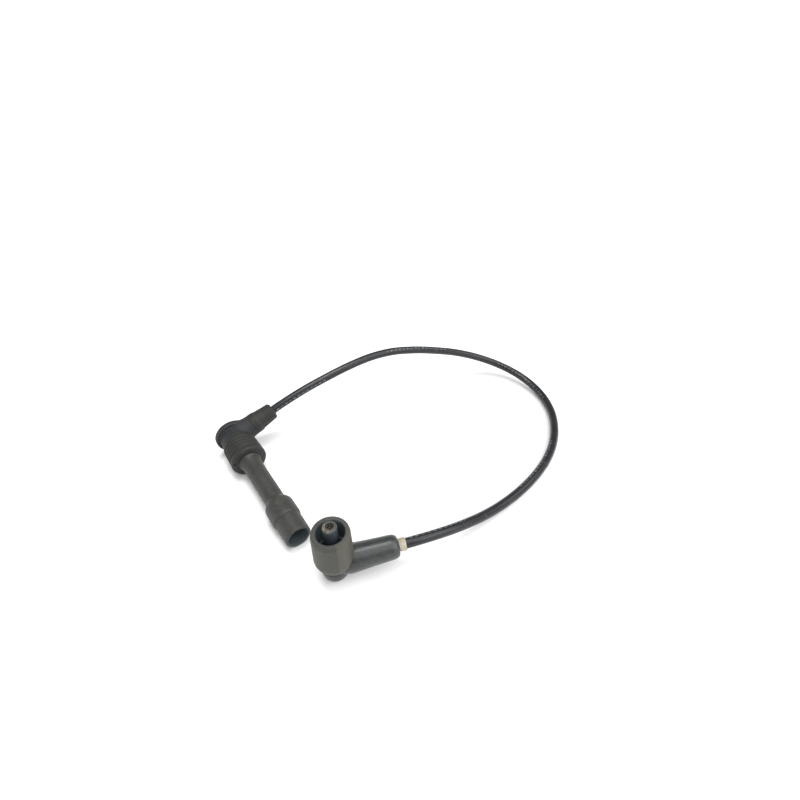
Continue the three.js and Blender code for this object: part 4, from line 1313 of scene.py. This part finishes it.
class LEAD_OT_contact_tower(bpy.types.Operator):
    """Turns the tower that holds the coil contact, with its chamfer and its hole"""

    bl_idname = "lead.contact_tower"
    bl_label = "Contact tower"

    def execute(self, context):
        sizes = context.scene.lead_coil
        radius, top = sizes.tower_radius, sizes.tower_top
        base = SPIGOT_TOP + FIT_GAP
        foot, hole, contact_room = 7.1 * MM, 2.4 * MM, 3.2 * MM
        corners = [
            (foot, base, 0.3 * MM),
            (foot, base + 0.8 * MM, 0.5 * MM),
            (radius + 1.2 * MM, base + 1.4 * MM, 0.7 * MM),
            (radius + 0.6 * MM, base + 3.2 * MM, 1.0 * MM),
            (radius, top - 2.3 * MM, 1.0 * MM),
            (radius, top - 0.9 * MM, 0.4 * MM),
            (radius - 0.4 * MM, top - 0.1 * MM, 0.4 * MM),
            (radius - 0.9 * MM, top, 0.4 * MM),
            (hole, top, 0.3 * MM),
            (hole, top - 3.0 * MM, 0.3 * MM),
            (contact_room, top - 3.0 * MM, 0.2 * MM),
            (contact_room, base, 0.2 * MM),
        ]
        tower = turned_ring("contact_tower_moulding", corners, 0.4 * MM, BRANCH_COLUMNS, COIL)
        dressed(tower, tower_plastic(top), "tower_plastic", "contact_tower")
        return {"FINISHED"}


# Contacts and inner fittings

CONTACT_RADIUS = 2.0 * MM
CONTACT_WALL = 0.6 * MM
CONTACT_FOOT = 36.0 * MM
CONTACT_SINK = 0.7 * MM
LEAF_THICKNESS = 0.45 * MM
LEAF_SWING = 0.62 * MM
LEAF_REACH = 1.05 * MM


def strip(path, thickness, low, high, matrix):
    """A bar of rectangular section along a level path: (x, y) + a n, and b up, where n is the path's
    normal, a runs over the thickness and b from low to high. The matrix then lays it in its place."""
    half, ease = thickness / 2, thickness / 4
    corners = [(-half, low), (half, low), (half, high, ease), (-half, high, ease)]
    section = rounded(corners, 1 * MM, loop=True)
    ahead = np.gradient(path, axis=0)
    ahead /= np.linalg.norm(ahead, axis=1)[:, None]
    across = np.stack([ahead[:, 1], -ahead[:, 0]], axis=1)
    level = path[:, None, :] + across[:, None, :] * section[None, :, :1]
    height = np.broadcast_to(section[None, :, 1:], (*level.shape[:2], 1))
    grid = np.concatenate([level, height], axis=2)
    return placed(grid.reshape(-1, 3), matrix).reshape(grid.shape)


class LEAD_OT_coil_contact(bpy.types.Operator):
    """Makes the coil contact: a turned foot, a split tube on it and a folded leaf in the tube"""

    bl_idname = "lead.coil_contact"
    bl_label = "Coil contact"

    def execute(self, context):
        top = context.scene.lead_coil.tower_top - CONTACT_SINK
        foot = [
            (0, 20.3 * MM),
            (1.5 * MM, 20.3 * MM, 0.2 * MM),
            (1.5 * MM, 24.3 * MM, 0.1 * MM),
            (2.6 * MM, 24.3 * MM, 0.2 * MM),
            (2.6 * MM, 28.0 * MM, 0.2 * MM),
            (CONTACT_RADIUS, 28.6 * MM, 0.3 * MM),
            (CONTACT_RADIUS, CONTACT_FOOT, 0.1 * MM),
            (0, CONTACT_FOOT),
        ]
        middle = CONTACT_RADIUS - CONTACT_WALL / 2
        turn = np.linspace(math.radians(8), math.radians(352), 60)
        round_path = middle * np.stack([np.cos(turn), np.sin(turn)], axis=1)
        fold = np.linspace(-1, 1, 40)
        folded_path = np.stack([LEAF_SWING * np.sin(math.pi * fold), LEAF_REACH * fold], axis=1)
        low = CONTACT_FOOT - 0.5 * MM
        grids = [
            turned(rounded(foot, PROFILE_STEP), 48, COIL),
            strip(round_path, CONTACT_WALL, low, top, COIL),
            strip(folded_path, LEAF_THICKNESS, low, top - 0.3 * MM, COIL),
        ]
        contact = made("coil_contact_leaf", grids, [False, False, False])
        dressed(contact, burnt_brass(), "contact_brass", "coil_contact_socket")
        return {"FINISHED"}


INNER_FINISHES = (
    (tarnished_brass, ("elbow_contact_stud", "coil_contact_stud", "plug_terminal_socket")),
    (spring_wire, ("contact_spring", "terminal_snap_ring", "socket_spring_ring")),
    (plated_steel, ("resistor_cap_upper", "resistor_cap_lower", "plug_crimp_ferrule", "coil_crimp_ferrule")),
    (fired_ceramic, ("suppression_resistor",)),
    (carbon_core, ("plug_end_core", "coil_end_core")),
)


class LEAD_OT_inner_fittings(bpy.types.Operator):
    """Gives the contacts, springs, resistor, ferrules and cores inside the lead their finishes"""

    bl_idname = "lead.inner_fittings"
    bl_label = "Inner fittings"

    def execute(self, context):
        for finish, names in INNER_FINISHES:
            material = finish()
            for name in names:
                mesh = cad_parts[name].data
                mesh.materials.clear()
                mesh.materials.append(material)
        return {"FINISHED"}


# Panel and registration

OPERATORS = (
    LEAD_OT_stage,
    LEAD_OT_cable,
    LEAD_OT_elbow_head,
    LEAD_OT_cable_sleeve,
    LEAD_OT_seal_collar,
    LEAD_OT_barrel,
    LEAD_OT_tip_sleeve,
    LEAD_OT_coil_elbow,
    LEAD_OT_coil_cup,
    LEAD_OT_contact_tower,
    LEAD_OT_coil_contact,
    LEAD_OT_inner_fittings,
)

GROUPS = (
    ("lead_plug", LEAD_PG_plug),
    ("lead_coil", LEAD_PG_coil),
    ("lead_cable", LEAD_PG_cable),
    ("lead_colours", LEAD_PG_colours),
    ("lead_stage", LEAD_PG_stage),
)


class LEAD_PT_panel(bpy.types.Panel):
    """Lists the lead's pieces in the sidebar"""

    bl_idname = "LEAD_PT_panel"
    bl_label = "Ignition Lead"
    bl_space_type = "VIEW_3D"
    bl_region_type = "UI"
    bl_category = "Ignition Lead"

    def draw(self, context):
        for operator in OPERATORS:
            self.layout.operator(operator.bl_idname)


def register():
    """Registers the settings, the operators and the panel, and hangs the settings on the scene."""
    for _, group in GROUPS:
        bpy.utils.register_class(group)
    for operator in OPERATORS:
        bpy.utils.register_class(operator)
    bpy.utils.register_class(LEAD_PT_panel)
    for name, group in GROUPS:
        setattr(bpy.types.Scene, name, PointerProperty(type=group))


def unregister():
    """Takes back all that register did, in reverse."""
    for name, _ in GROUPS:
        delattr(bpy.types.Scene, name)
    bpy.utils.unregister_class(LEAD_PT_panel)
    for operator in reversed(OPERATORS):
        bpy.utils.unregister_class(operator)
    for _, group in reversed(GROUPS):
        bpy.utils.unregister_class(group)


def main():
    """Builds the stage and every piece."""
    register()
    for operator in OPERATORS:
        family, action = operator.bl_idname.split(".")
        getattr(getattr(bpy.ops, family), action)()


if __name__ == "__main__":
    main()
